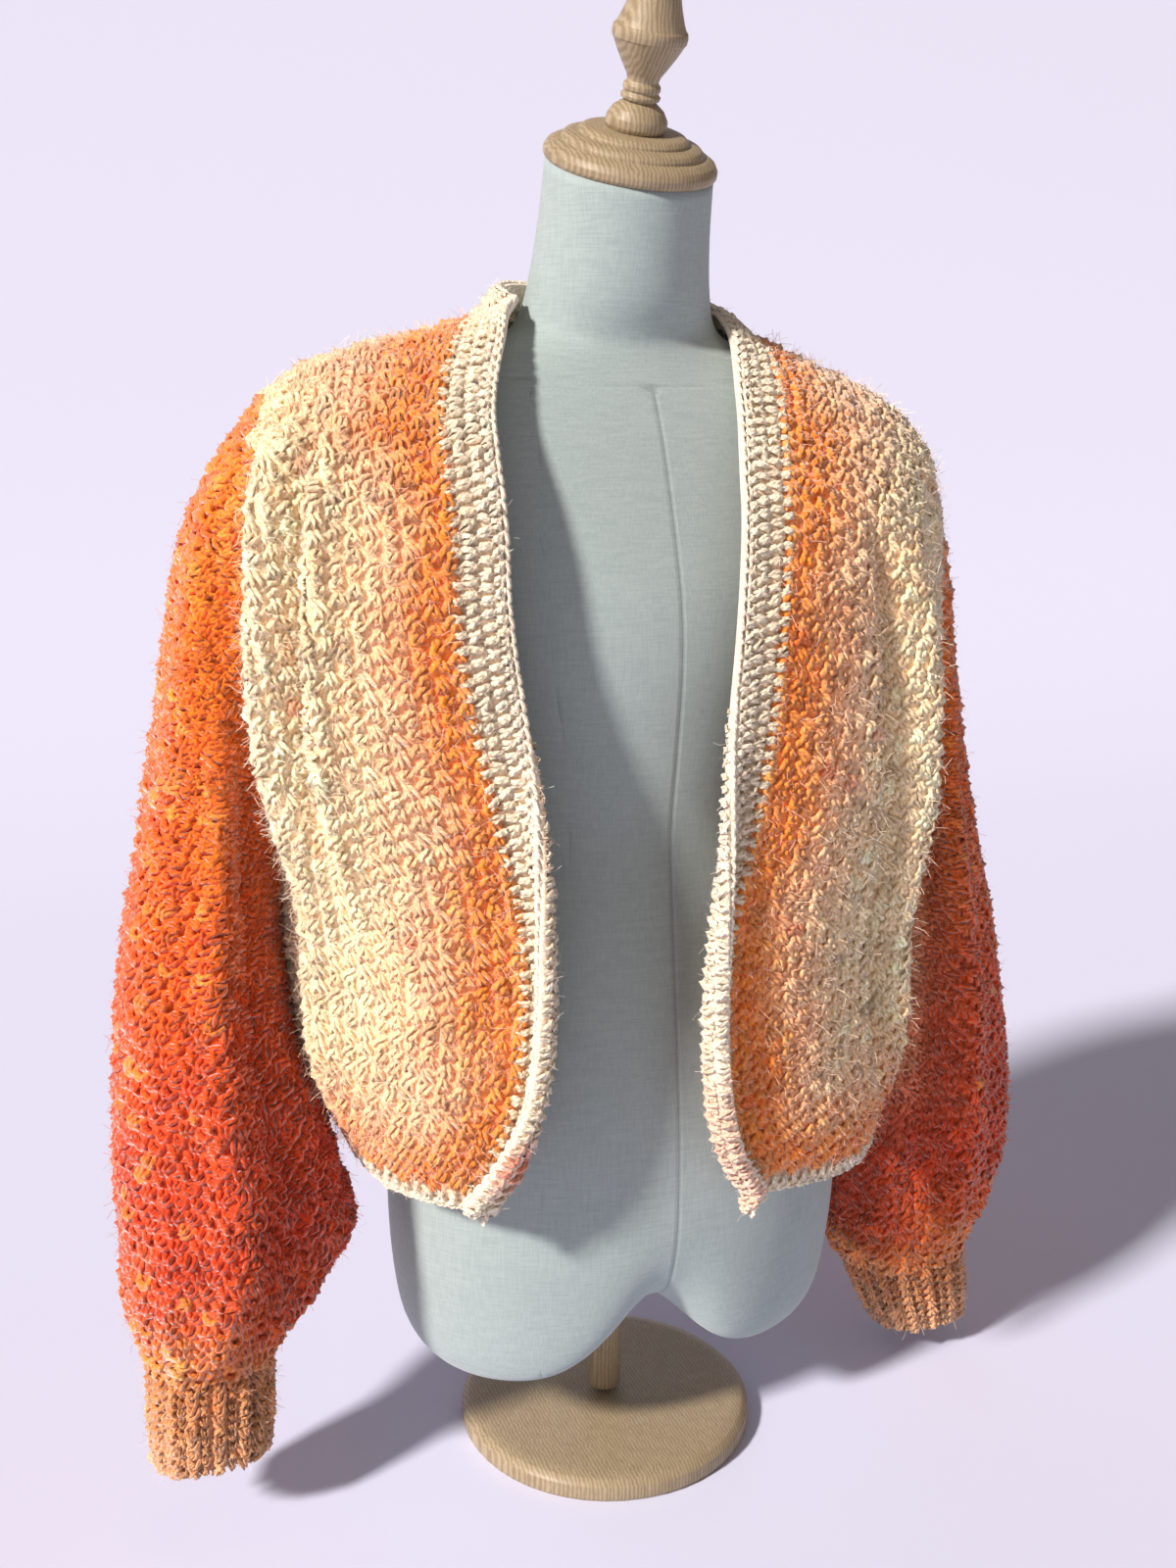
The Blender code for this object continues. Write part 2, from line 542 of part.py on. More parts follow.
def band_frame(path, i):
    """Direction across the band, away from the panel, and its outward normal."""
    ahead = path[min(i + 1, len(path) - 1)]["point"]
    behind = path[max(i - 1, 0)]["point"]
    along = (ahead - behind).normalized()
    spot = path[i]
    normal = body_normal(spot["level"], spot["bearing"])
    round_neck = ease((spot["level"] - 11.0) / 3.0)
    if round_neck > 0:
        outward = Vector((spot["point"].x, spot["point"].y - 0.8, 0)).normalized()
        behind_neck = ease(outward.y)
        rise = radians(NECK_RISE_SIDE + (NECK_RISE_BACK - NECK_RISE_SIDE) * behind_neck)
        collar = outward * cos(rise) + Vector((0, 0, sin(rise)))
        normal = normal.lerp(collar, round_neck)
    across = along.cross(normal).normalized()
    return across, across.cross(along).normalized()


def band_section(width):
    """Distances across the band and the height of its two raised rows and edge chain."""
    rows = width - CHAIN_WIDTH
    return ((SEAM_GAP, 0.0), (rows * 0.25, BAND_RELIEF), (rows * 0.5, 0.0),
            (rows * 0.75, BAND_RELIEF), (rows, 0.0), (rows + CHAIN_WIDTH * 0.5, CHAIN_RELIEF),
            (width, 0.0))


def band(material):
    path = band_path()
    outer = []
    inner = []
    for i, spot in enumerate(path):
        across, normal = band_frame(path, i)
        width = BAND_WIDTH * spot["width"]
        roll = max(between(BODY, "roll_" + spot["roll"], spot["level"]), 0.0)
        bend = roll / BAND_WIDTH
        row = []
        back = []
        for q, raised in band_section(width):
            turn = bend * q
            if bend > 0.001:
                run = sin(turn) / bend
                lift = ROLL_FLATNESS * (1 - cos(turn)) / bend
            else:
                run = q
                lift = 0.0
            place = spot["point"] + across * run + normal * lift
            face = (normal * cos(turn) - across * sin(turn)).normalized()
            if q == SEAM_GAP:
                face = body_normal(spot["level"], spot["bearing"])
            row.append(place + face * raised)
            back.append(place - face * CLOTH)
        outer.append(row)
        inner.append(back)
    return sheet("front_band", outer, inner, material)


def hem(material):
    """Edging below the panels, its steps in line with their columns."""
    right, left = SIDES
    turns = front_bearings(right, 0) + back_bearings(0)[1:-1]
    turns += [bearing + 2 * pi for bearing in reversed(front_bearings(left, 0))]
    turns[0] += turn_for(0, turns[0], HEM_END_GAP)
    turns[-1] -= turn_for(0, turns[-1], HEM_END_GAP)
    outer = []
    inner = []
    for bearing in turns:
        edge = body_point(0, bearing)
        normal = body_normal(0, bearing)
        row = []
        back = []
        for down, raised in HEM_SECTION:
            place = edge - Vector((0, 0, down)) - normal * HEM_DRAW_IN * (down - SEAM_GAP)
            row.append(place + normal * raised)
            back.append(place - normal * CLOTH)
        outer.append(row)
        inner.append(back)
    return sheet("hem_edging", outer, inner, material)


def form_point(level, angle):
    c = cos(angle)
    s = sin(angle)
    power = between(FORM, "power", level)
    depth = between(FORM, "front" if s >= 0 else "back", level)
    x = between(FORM, "side", level) * rounded(c, power)
    y = -depth * rounded(s, power)
    low = between(FORM, "z", level)
    fade = max(0.0, 1 - low / ARCH_FADE) ** 2
    y *= 1 - CLEFT * fade * exp(-(x / CLEFT_WIDTH) ** 2)
    arch = ARCH_HEIGHT * exp(-abs((x - ARCH_MIDDLE) / ARCH_HALF_WIDTH) ** ARCH_POWER)
    z = low + fade * arch + between(FORM, "rise", level) * y
    return Vector((x + FORM_LEAN * (1 - z / FORM[-1]["z"]), y + between(FORM, "y", level), z))


def form_turns():
    """Bearings of the form's columns, closer together over the arch."""
    half = list(FORM_QUARTER) + [90] + [180 - a for a in reversed(FORM_QUARTER)]
    return half, half + [a + 180 for a in half[1:-1]]


def underside(x):
    """Height of the form's straight-sided underside at a distance across."""
    rim = [form_point(0, radians(a)) for a in reversed(form_turns()[0])]
    for near, far in zip(rim, rim[1:]):
        if near.x <= x <= far.x:
            return near.z + (far.z - near.z) * (x - near.x) / (far.x - near.x)
    return rim[0].z


def dress_form(material):
    """Smooth torso; its underside runs straight from front to back, arched in the middle."""
    bm = bmesh.new()
    last = len(FORM) - 1
    half, turns = form_turns()
    count = len(turns)
    rings = []
    for i in range(FORM_ROWS + 1):
        level = last * (i / FORM_ROWS)
        rings.append([bm.verts.new(to_world(form_point(level, radians(a)))) for a in turns])
    for lower, upper in zip(rings, rings[1:]):
        for j in range(count):
            k = (j + 1) % count
            bm.faces.new((lower[j], lower[k], upper[k], upper[j]))
    rim = rings[0]
    for j in range(len(half) - 1):
        corners = (rim[j], rim[j + 1], rim[(count - j - 1) % count], rim[(count - j) % count])
        bm.faces.new(tuple(dict.fromkeys(corners)))
    bm.faces.new(rings[-1])
    return add_object("torso_form", bm, material, smooth_angle=60)


def turned(name, profile, material, sides, matrix):
    """Solid of revolution: the profile is spun by a Screw modifier round its own axis."""
    mesh = bpy.data.meshes.new(name)
    points = [(0, profile[-1][1])] + [p for p in reversed(profile)] + [(0, profile[0][1])]
    mesh.from_pydata([(r * CM, 0, z * CM) for r, z in points],
                     [(i, i + 1) for i in range(len(points) - 1)], [])
    mesh.materials.append(material)
    obj = bpy.data.objects.new(name, mesh)
    bpy.data.collections[COLLECTION].objects.link(obj)
    obj.matrix_world = matrix
    spin = obj.modifiers.new("spin", "SCREW")
    spin.axis = "Z"
    spin.steps = sides
    spin.render_steps = sides
    spin.use_merge_vertices = True
    spin.merge_threshold = 0.00005
    spin.use_smooth_shade = True
    return obj


def fittings(wood):
    """Neck cap and finial on the tilted neck, and the plain base and post below."""
    neck = FORM[-1]
    seat = to_world(Vector((0, neck["y"], neck["z"])))
    lean = Matrix.Rotation(radians(CAP_TILT), 4, "X")
    place = Matrix.Translation(seat) @ lean @ Matrix.Translation((0, 0, SEAM_GAP * CM))
    turned("neck_cap", CAP_PROFILE, wood, 32, place)
    turned("finial", FINIAL_PROFILE, wood, 20, place)
    floor = Vector((0, 0, -THIGH_HEIGHT))
    turned("stand_base", BASE_PROFILE, wood, 40, Matrix.Translation(to_world(floor)))
    top = min(underside(-POST_RADIUS), underside(0), underside(POST_RADIUS))
    reach = THIGH_HEIGHT + top - BASE_TOP - 2 * SEAM_GAP
    post = ((POST_RADIUS, 0.0), (POST_RADIUS, reach))
    foot = Vector((0, FORM[0]["y"], BASE_TOP + SEAM_GAP - THIGH_HEIGHT))
    lift = Matrix.Translation(to_world(foot))
    turned("stand_post", post, wood, 24, lift)


def make_material(name):
    values = MATERIALS[name]
    material = bpy.data.materials.new(name)
    material.use_nodes = True
    shader = material.node_tree.nodes["Principled BSDF"]
    shader.inputs["Base Color"].default_value = values["colour"]
    shader.inputs["Roughness"].default_value = values["roughness"]
    shader.inputs["Metallic"].default_value = values["metallic"]
    return material


def build():
    for obj in list(bpy.data.objects):
        bpy.data.objects.remove(obj, do_unlink=True)
    collection = bpy.data.collections.new(COLLECTION)
    bpy.context.scene.collection.children.link(collection)
    orange = make_material("crochet_orange")
    cream = make_material("crochet_cream")
    linen = make_material("linen_cover")
    wood = make_material("turned_ash")
    for side in SIDES:
        panel(side["name"] + "_front", lambda level, side=side: front_bearings(side, level),
              (None, side, "front"), orange)
        sleeve(side, orange)
        cuff(side, orange)
    panel("back", back_bearings, (SIDES[0], SIDES[1], "back"), orange)
    band(cream)
    hem(cream)
    dress_form(linen)
    fittings(wood)


build()
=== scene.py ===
import bmesh
import bpy
import numpy as np
from mathutils import Matrix, Vector


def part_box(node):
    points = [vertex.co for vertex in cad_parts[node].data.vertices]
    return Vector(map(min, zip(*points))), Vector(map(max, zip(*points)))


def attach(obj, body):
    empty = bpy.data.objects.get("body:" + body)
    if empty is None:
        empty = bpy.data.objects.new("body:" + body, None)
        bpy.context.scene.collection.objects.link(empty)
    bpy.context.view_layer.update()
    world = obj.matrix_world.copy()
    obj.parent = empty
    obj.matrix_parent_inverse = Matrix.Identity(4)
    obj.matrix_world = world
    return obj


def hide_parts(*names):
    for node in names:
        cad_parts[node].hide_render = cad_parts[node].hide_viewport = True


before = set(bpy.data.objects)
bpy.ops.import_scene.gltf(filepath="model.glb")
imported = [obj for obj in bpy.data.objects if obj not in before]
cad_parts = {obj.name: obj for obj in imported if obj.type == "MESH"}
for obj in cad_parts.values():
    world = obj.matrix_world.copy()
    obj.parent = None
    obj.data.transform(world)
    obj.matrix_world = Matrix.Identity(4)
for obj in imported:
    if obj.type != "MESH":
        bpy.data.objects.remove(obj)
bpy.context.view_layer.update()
dice = np.random.default_rng(11)
print("frame loaded")

# All tables are in centimetres from the form's axis, with heights above its thigh ends
place = dict(rise=10.6, boxMiddle=(-0.296, -0.797))


def toWorld(points):
    shift = np.array([-place["boxMiddle"][0], -place["boxMiddle"][1], place["rise"]])
    return (np.asarray(points, float) + shift) / 100


def smooth(table, key, level):
    values = np.asarray(table[key], float)
    last = len(values) - 1
    i = np.clip(np.asarray(level, float).astype(int), 0, last - 1)
    t = level - i
    a, b = values[np.maximum(i - 1, 0)], values[i]
    c, d = values[i + 1], values[np.minimum(i + 2, last)]
    return 0.5 * (2 * b + (c - a) * t + (2 * a - 5 * b + 4 * c - d) * t * t
                  + (3 * b - a - 3 * c + d) * t ** 3)


def ease(value):
    t = np.clip(value, 0, 1)
    return t * t * (3 - 2 * t)


def rounded(value, power):
    return np.sign(value) * np.abs(value) ** (2 / power)


def unit(vectors):
    return vectors / np.maximum(np.linalg.norm(vectors, axis=-1, keepdims=True), 1e-9)


def runAlong(points):
    # Length from the first point to each
    return np.concatenate([[0], np.cumsum(np.linalg.norm(np.diff(points, axis=0), axis=-1))])


def linear(hexColour):
    values = [int(hexColour[i:i + 2], 16) / 255 for i in (1, 3, 5)]
    return [v / 12.92 if v <= 0.04045 else ((v + 0.055) / 1.055) ** 2.4 for v in values]


def ramp(stops, value):
    at = [s[0] for s in stops]
    colours = np.array([linear(s[1]) for s in stops])
    return np.stack([np.interp(value, at, colours[:, k]) for k in range(3)], -1)


def blendTo(colours, hexColour, share):
    return colours * (1 - share) + np.array(linear(hexColour)) * share


# Body of the cardigan: one value a level, hem to neck
body = dict(
    z=(16.8, 20.5, 25.5, 31.5, 37.0, 43.0, 50.0, 57.0, 63.0, 66.8, 69.2, 71.6, 73.4, 74.9, 76.0),
    right=(21.0, 22.9, 24.4, 24.9, 25.2, 27.0, 28.2, 28.3, 27.8, 26.9, 25.3, 22.4, 18.0, 13.2, 10.3),
    left=(20.0, 20.8, 21.4, 21.9, 22.9, 24.8, 25.3, 25.1, 25.0, 24.8, 24.3, 21.9, 17.7, 13.2, 10.3),
    front=(14.0, 14.8, 15.1, 15.1, 15.1, 15.0, 14.8, 14.4, 13.2, 11.6, 10.2, 8.6, 7.2, 5.6, 2.8),
    back=(13.6, 14.4, 15.0, 15.2, 15.2, 15.0, 14.8, 14.4, 13.8, 12.6, 11.4, 10.0, 8.8, 7.8, 7.6),
    y=(0, 0, 0, 0, 0, 0, 0, 0, 0.1, 0.3, 0.5, 0.7, 0.9, 1.2, 1.4),
    power=(3.1, 2.9, 2.6, 2.4, 2.4, 2.4, 2.4, 2.4, 2.4, 2.3, 2.2, 2.1, 2.0, 2.0, 2.0),
    tilt=(0.085, 0.075, 0.06, 0.05, 0.045, 0.04, 0.04, 0.04, 0.04, 0.048, 0.058, 0.053, 0.05, 0.04, 0.03),
    endRight=(-15.2, -13.7, -12.4, -11.9, -12.3, -13.5, -15.1, -16.0, -15.9, -15.7, -15.4, -14.6,
              -13.4, -11.9, -10.15),
    rollRight=(3.0, 3.0, 2.9, 2.8, 2.4, 1.4, 0.3, 0, 0, 0, 0, 0, 0, 0, 0),
    endLeft=(6.0, 3.3, 2.1, 1.9, 2.5, 3.8, 5.0, 5.8, 6.6, 7.3, 8.0, 8.7, 9.4, 10.0, 10.15),
    rollLeft=(3.1, 3.1, 3.0, 2.8, 2.3, 1.3, 0.3, 0, 0, 0, 0, 0, 0, 0, 0),
    top=14.0, armholeLow=4.0, armholeHigh=10.2, armholeFront=12.0, armholeBack=20.0)
armholeMiddle = 0.5 * (body["armholeHigh"] + body["armholeLow"])
armholeHalf = 0.5 * (body["armholeHigh"] - body["armholeLow"])

# Large folds, as on the solids: bearing low, halfway and high, width, height, first and last level
folds = ((166, 158, 153, 5.0, 1.0, 0.4, 10.0), (172, 166, 161, 5.0, -1.1, 4.2, 9.6),
         (27, 44, 62, 6.0, 1.3, 0.3, 8.8), (16, 31, 47, 7.0, -2.3, 4.0, 9.0),
         (128, 132, 130, 7.0, 0.45, 0.0, 5.5), (206, 209, 204, 6.0, 0.9, 0.3, 9.2),
         (217, 220, 216, 6.0, -0.7, 1.5, 8.5), (243, 238, 240, 7.0, 0.6, 0.2, 6.5),
         (278, 283, 280, 8.0, 0.5, 0.2, 5.0), (309, 312, 306, 6.5, 0.8, 0.3, 8.0),
         (322, 323, 319, 6.0, -0.8, 2.0, 8.8), (334, 334, 331, 5.5, 0.8, 0.3, 9.2))
foldEnds = dict(start=1.6, finish=2.2)  # levels over which a fold rises and dies away

# Narrower creases over them, in the same columns: shallow ones, then the deep ones beside the armhole
# and on the left front
creases = ((112, 118, 121, 4.0, -0.22, 3.0, 9.5), (141, 146, 143, 3.5, -0.25, 1.0, 6.5),
           (75, 72, 76, 5.0, 0.2, 1.5, 7.0), (60, 58, 70, 4.0, -0.2, 0.5, 6.0),
           (186, 190, 190, 4.5, 0.25, 0.5, 4.5), (228, 229, 226, 4.0, 0.2, 2.0, 7.0),
           (255, 258, 262, 5.0, -0.25, 3.0, 10.0), (268, 270, 272, 4.0, 0.2, 6.0, 11.0),
           (292, 297, 290, 5.0, -0.3, 1.0, 8.0), (344, 347, 345, 4.5, 0.25, 0.5, 4.5),
           (158, 150, 152, 2.6, -2.2, 4.4, 10.4), (164, 156, 158, 3.0, 1.0, 4.2, 10.4),
           (153, 145, 146, 2.6, 1.1, 3.6, 10.2), (36, 56, 68, 2.8, -2.0, 1.0, 8.6),
           (29, 49, 61, 2.8, 0.9, 1.0, 8.2), (22, 41, 53, 2.8, -1.2, 1.4, 8.2))


def foldHeight(level, bearing):
    t = level / body["top"]
    total = np.zeros(np.broadcast(level, bearing).shape)
    for table in (folds, creases):
        for low, mid, high, width, height, first, last in table:
            middle = low * (1 - t) * (1 - 2 * t) + mid * 4 * t * (1 - t) + high * t * (2 * t - 1)
            off = (np.degrees(bearing) - middle) / width
            rising = height * ease((level - first) / foldEnds["start"])
            total = total + rising * ease((last - level) / foldEnds["finish"]) * np.exp(-off * off)
    return total


def bodySurface(level, bearing):
    level, bearing = np.broadcast_arrays(np.asarray(level, float), np.asarray(bearing, float))
    c, s, power = np.cos(bearing), np.sin(bearing), smooth(body, "power", level)
    x = np.where(c >= 0, smooth(body, "left", level), smooth(body, "right", level)) * rounded(c, power)
    y = -np.where(s >= 0, smooth(body, "front", level), smooth(body, "back", level)) * rounded(s, power)
    grow = 1 + foldHeight(level, bearing) / np.hypot(x, y)
    x, y = x * grow, y * grow
    z = smooth(body, "z", level) - smooth(body, "tilt", level) * x
    return np.stack([x, y + smooth(body, "y", level), z], -1)


def bodyNormal(level, bearing, step=0.02):
    above = bodySurface(np.minimum(level + step, body["top"]), bearing)
    up = above - bodySurface(np.maximum(level - step, 0), bearing)
    along = bodySurface(level, bearing + step) - bodySurface(level, bearing - step)
    return unit(-np.cross(along, up))


def frontEnd(side, level):
    x = smooth(body, "endRight" if side == "right" else "endLeft", level)
    width = np.where(x < 0, smooth(body, "right", level), smooth(body, "left", level))
    angle = np.arccos(np.minimum(np.abs(x) / width, 0.999) ** (smooth(body, "power", level) / 2))
    return np.where(x < 0, np.pi - angle, angle)


def sideBearing(side, face, level):
    reach = np.radians(body["armholeFront"] if face == "front" else body["armholeBack"])
    off = (level - armholeMiddle) / armholeHalf
    swing = np.maximum(0.001, reach * np.sqrt(np.maximum(0, 1 - off ** 2)))
    base = np.pi if side == "right" else (0 if face == "front" else 2 * np.pi)
    toward = -1 if (side == "right") == (face == "front") else 1
    return base + toward * swing


def panelBearing(panel, level, across):
    level = np.asarray(level, float)
    if panel == "back":
        start, stop = sideBearing("right", "back", level), sideBearing("left", "back", level)
    else:
        start, stop = frontEnd(panel, level), sideBearing(panel, "front", level)
    return start + (stop - start) * across


# Sleeves: one value a ring, armhole to cuff, then what the cuff does below
sleeves = dict(
    right=dict(
        out=(25.4, 29.0, 30.9, 32.7, 35.0, 36.7, 37.4, 37.6, 37.2, 36.3, 36.0),
        outZ=(70.6, 64.8, 57.8, 48.5, 39.0, 29.5, 20.5, 13.0, 8.0, 4.6, 2.4),
        under=(25.4, 25.5, 25.4, 25.3, 24.7, 23.6, 22.3, 21.7, 24.2, 26.8, 28.0),
        underZ=(38.1, 35.5, 32.5, 29.5, 26.0, 21.8, 17.2, 12.6, 8.2, 4.6, 2.4),
        front=(3.3, 3.8, 4.5, 5.2, 5.8, 6.2, 6.4, 6.2, 5.4, 4.0, 3.0),
        back=(5.5, 6.8, 7.2, 7.4, 7.0, 7.2, 7.2, 7.0, 6.0, 4.3, 3.0),
        y=(0.6, 0.4, 0.2, 0, -0.3, -0.7, -1.0, -1.2, -1.3, -1.3, -1.3),
        stand=(1.4, 1.6, 1.5, 1.2, 0.8, 0.3, 0, 0, 0, 0, 0),
        sign=-1, cuff=6.8, slant=0.3, sway=-0.5, taper=0.96),
    left=dict(
        out=(24.6, 26.0, 27.2, 29.3, 31.6, 34.2, 36.4, 37.0, 35.6, 33.9, 33.2),
        outZ=(68.6, 63.0, 55.5, 46.0, 37.0, 27.5, 17.5, 9.5, 3.8, 0.6, -1.8),
        under=(24.6, 24.8, 24.2, 23.6, 23.1, 22.6, 21.6, 20.7, 20.6, 21.6, 23.2),
        underZ=(36.4, 33.6, 30.5, 27.5, 23.8, 19.2, 14.0, 8.6, 4.2, 0.8, -1.8),
        front=(3.3, 3.6, 4.2, 5.0, 5.6, 6.0, 6.2, 6.0, 5.2, 4.2, 3.4),
        back=(5.5, 6.2, 7.0, 7.4, 7.6, 7.6, 7.3, 6.8, 5.8, 4.4, 3.4),
        y=(0.6, 0.8, 1.0, 1.2, 1.3, 1.2, 1.0, 0.6, 0.3, 0, -0.2),
        stand=(1.2, 1.2, 1.2, 0.9, 0.6, 0.2, 0, 0, 0, 0, 0),
        sign=1, cuff=5.8, slant=1.6, sway=-0.4, taper=0.78),
    last=10, power=2.3, crease=0.8, creaseWidth=14.0, crossWidth=0.38, gathers=6, fineGathers=13,
    gatherDepth=0.28)

# Creases across the sleeves: ring, its change for each radian round, bearing, length round, height
sleeveCreases = ((1.6, 0.5, 260, 50, -0.35), (2.4, -0.6, 100, 45, -0.3), (3.3, 0.7, 210, 55, 0.3),
                 (4.2, -0.5, 300, 50, -0.35), (5.0, 0.6, 60, 45, 0.3), (5.9, -0.8, 180, 60, -0.4),
                 (6.6, 0.5, 120, 40, 0.3), (7.3, -0.4, 330, 50, -0.35), (7.8, 0.6, 230, 45, 0.3))

# Creases down the sleeves: bearing, width, height
longCreases = ((84, 9, 0.5), (108, 15, -1.0), (262, 14, -0.6), (288, 12, 0.4))


def sleeveRing(side, ring, angle):
    s = sleeves[side]
    part = ring / sleeves["last"]
    c, n = rounded(np.cos(angle), sleeves["power"]), rounded(np.sin(angle), sleeves["power"])
    out = 0.5 * (smooth(s, "out", ring) * (1 + c) + smooth(s, "under", ring) * (1 - c))
    z = 0.5 * (smooth(s, "outZ", ring) * (1 + c) + smooth(s, "underZ", ring) * (1 - c))
    depth = np.where(n >= 0, smooth(s, "front", ring), smooth(s, "back", ring))
    turn = np.degrees(angle) % 360
    crease = sleeves["crease"] * ease(part * 3) * ease((1 - part) * 5)
    crease = crease * np.exp(-((turn - 90) / sleeves["creaseWidth"]) ** 2)
    gather = sleeves["gatherDepth"] * ease((part - 0.6) * 3) * ease((1 - part) * 12 + 0.2)
    gather = gather * (np.cos(sleeves["gathers"] * angle) + 0.5 * np.cos(sleeves["fineGathers"] * angle + 1))
    for middle, slope, bearing, length, height in sleeveCreases:
        away = np.radians((turn - bearing + 180) % 360 - 180)
        line = (ring - middle - slope * away) / sleeves["crossWidth"]
        gather = gather + height * np.exp(-line * line - (np.degrees(away) / length) ** 2)
    for middle, width, height in longCreases:
        fold = height * ease(part * 4) * ease((1 - part) * 4)
        gather = gather + fold * np.exp(-((turn - middle) / width) ** 2)
    y = smooth(s, "y", ring) - (depth + gather) * n - crease
    out = out + smooth(s, "stand", ring) * np.abs(n) + gather * c
    return np.stack([s["sign"] * out, y, z], -1)


def sleeveSurface(side, ring, angle):
    ring, angle = np.broadcast_arrays(np.asarray(ring, float), np.asarray(angle, float))
    level = armholeMiddle + armholeHalf * np.cos(angle)
    reach = np.where(np.sin(angle) >= 0, body["armholeFront"], body["armholeBack"])
    swing = np.radians(reach) * np.sin(angle)
    bearing = np.pi - swing if side == "right" else swing
    bearing = np.where(bearing < 0, bearing + 2 * np.pi, bearing)
    blend = ease(ring / 1.2)[..., None]
    return bodySurface(level, bearing) * (1 - blend) + sleeveRing(side, ring, angle) * blend


def sleeveNormal(side, ring, angle, step=0.03):
    high = np.where(ring < step, 0.6, np.minimum(ring + step, sleeves["last"]))
    down = sleeveSurface(side, high, angle) - sleeveSurface(side, np.maximum(ring - step, 0), angle)
    around = sleeveSurface(side, ring, angle + step) - sleeveSurface(side, ring, angle - step)
    return unit(np.cross(around, down)) * sleeves[side]["sign"]


def cuffSurface(side, down, angle, lift):
    s, last = sleeves[side], float(sleeves["last"])
    edge = sleeveRing(side, last, angle)
    centre = 0.5 * (sleeveRing(side, last, 0.0) + sleeveRing(side, last, np.pi))
    away = (edge - centre) * np.array([1, 1, 0])
    size = 1 + (s["taper"] - 1) * down + 0.04 * np.sin(np.pi * down)
    base = centre + away * np.asarray(size)[..., None]
    base = base + np.asarray(down)[..., None] * np.array([s["sign"] * s["slant"], s["sway"], -s["cuff"]])
    return base + unit(away) * np.asarray(lift)[..., None]


# Yarn colours by distance from the front and hem edges in centimetres, and down the sleeves, with the colours
# of painted shade beside them
yarnDyesAndShade = dict(
    fronts=((0, "#F69C4C"), (1.6, "#F68C2C"), (3.0, "#F6A45C"), (4.6, "#F8BC8A"), (6.5, "#F8CEA2"),
            (9.0, "#F8DAAE"), (12, "#F8E2B8"), (20, "#F9E6C2")),
    sleeve=((0, "#EA9248"), (0.06, "#F0801E"), (0.2, "#EC7214"), (0.38, "#E8640E"), (0.52, "#DE500C"),
            (0.66, "#D2400C"), (0.78, "#D8581A"), (0.9, "#E07C34"), (1.0, "#E4985A")),
    cuff=((0, "#D88C52"), (0.5, "#DC9C68"), (1.0, "#E2AA7C")),
    band=((0, "#EBDCC0"), (1, "#F0E4CE")),
    # Painted shade among these colours: a pinkish grey and a deep red blended into the shells that show
    # between the stitches, in the share given below, and a deep red that darkens the sleeves' inner faces
    shoulder="#F6C4A2", patch="#EC5A2C", shadow="#D09078", sleeveGapShade="#B4400E", innerFaceShade="#BE380A",
    paleFace="#F0D2A2", hairTip="#FFF4EA", fleckLight="#FBB24C", fleckDeep="#E03A1A", fleckShare=0.36,
    gapShadeShare=0.16, corner=1.6, wobble=0.11)


def mottle(colours, amount=1.0, flecks=0.0):
    n = len(colours)
    pick = dice.random((n, 1))
    for name, low, high in (("fleckLight", 0, flecks), ("fleckDeep", flecks, 2 * flecks)):
        chosen = yarnDyesAndShade["fleckShare"] * ((pick >= low) & (pick < high))
        colours = blendTo(colours, yarnDyesAndShade[name], chosen)
    light = 1 + yarnDyesAndShade["wobble"] * amount * dice.normal(0, 1, (n, 1))
    warm = 0.05 * amount * dice.normal(0, 1, n)
    shifted = colours * np.clip(light, 0.55, 1.4)
    shifted[:, 1] *= 1 + warm
    shifted[:, 2] *= 1 + 1.6 * warm
    return np.clip(shifted, 0, 1)


def bodyColour(level, edge, hemEdge, bearing):
    corner = yarnDyesAndShade["corner"]  # cm over which the colours of the two edges join
    near = -corner * np.log(np.exp(-edge / corner) + np.exp(-hemEdge / corner))
    near = near + 0.7 * np.sin(level * 1.9 + bearing * 5) + 0.4 * np.sin(level * 4.3 + bearing * 11)
    colours = ramp(yarnDyesAndShade["fronts"], np.maximum(near, 0))
    top = ease((level - 9.5) / 2.5)[..., None] * ease((edge - 3) / 3)[..., None] * 0.75
    return blendTo(colours, yarnDyesAndShade["shoulder"], top)


def addNode(tree, kind, values=None, links=None, **settings):
    # A link from a node itself is from its first output
    node = tree.nodes.new(kind)
    for name, value in settings.items():
        setattr(node, name, value)
    for key, value in (values or {}).items():
        node.inputs[key].default_value = value
    for key, source in (links or {}).items():
        tree.links.new(source.outputs[0] if hasattr(source, "outputs") else source, node.inputs[key])
    return node


def newMaterial(name, **inputs):
    material = bpy.data.materials.new(name)
    material.use_nodes = True
    shader = material.node_tree.nodes["Principled BSDF"]
    for key, value in inputs.items():
        shader.inputs[key.replace("_", " ")].default_value = value
    return material, material.node_tree, shader


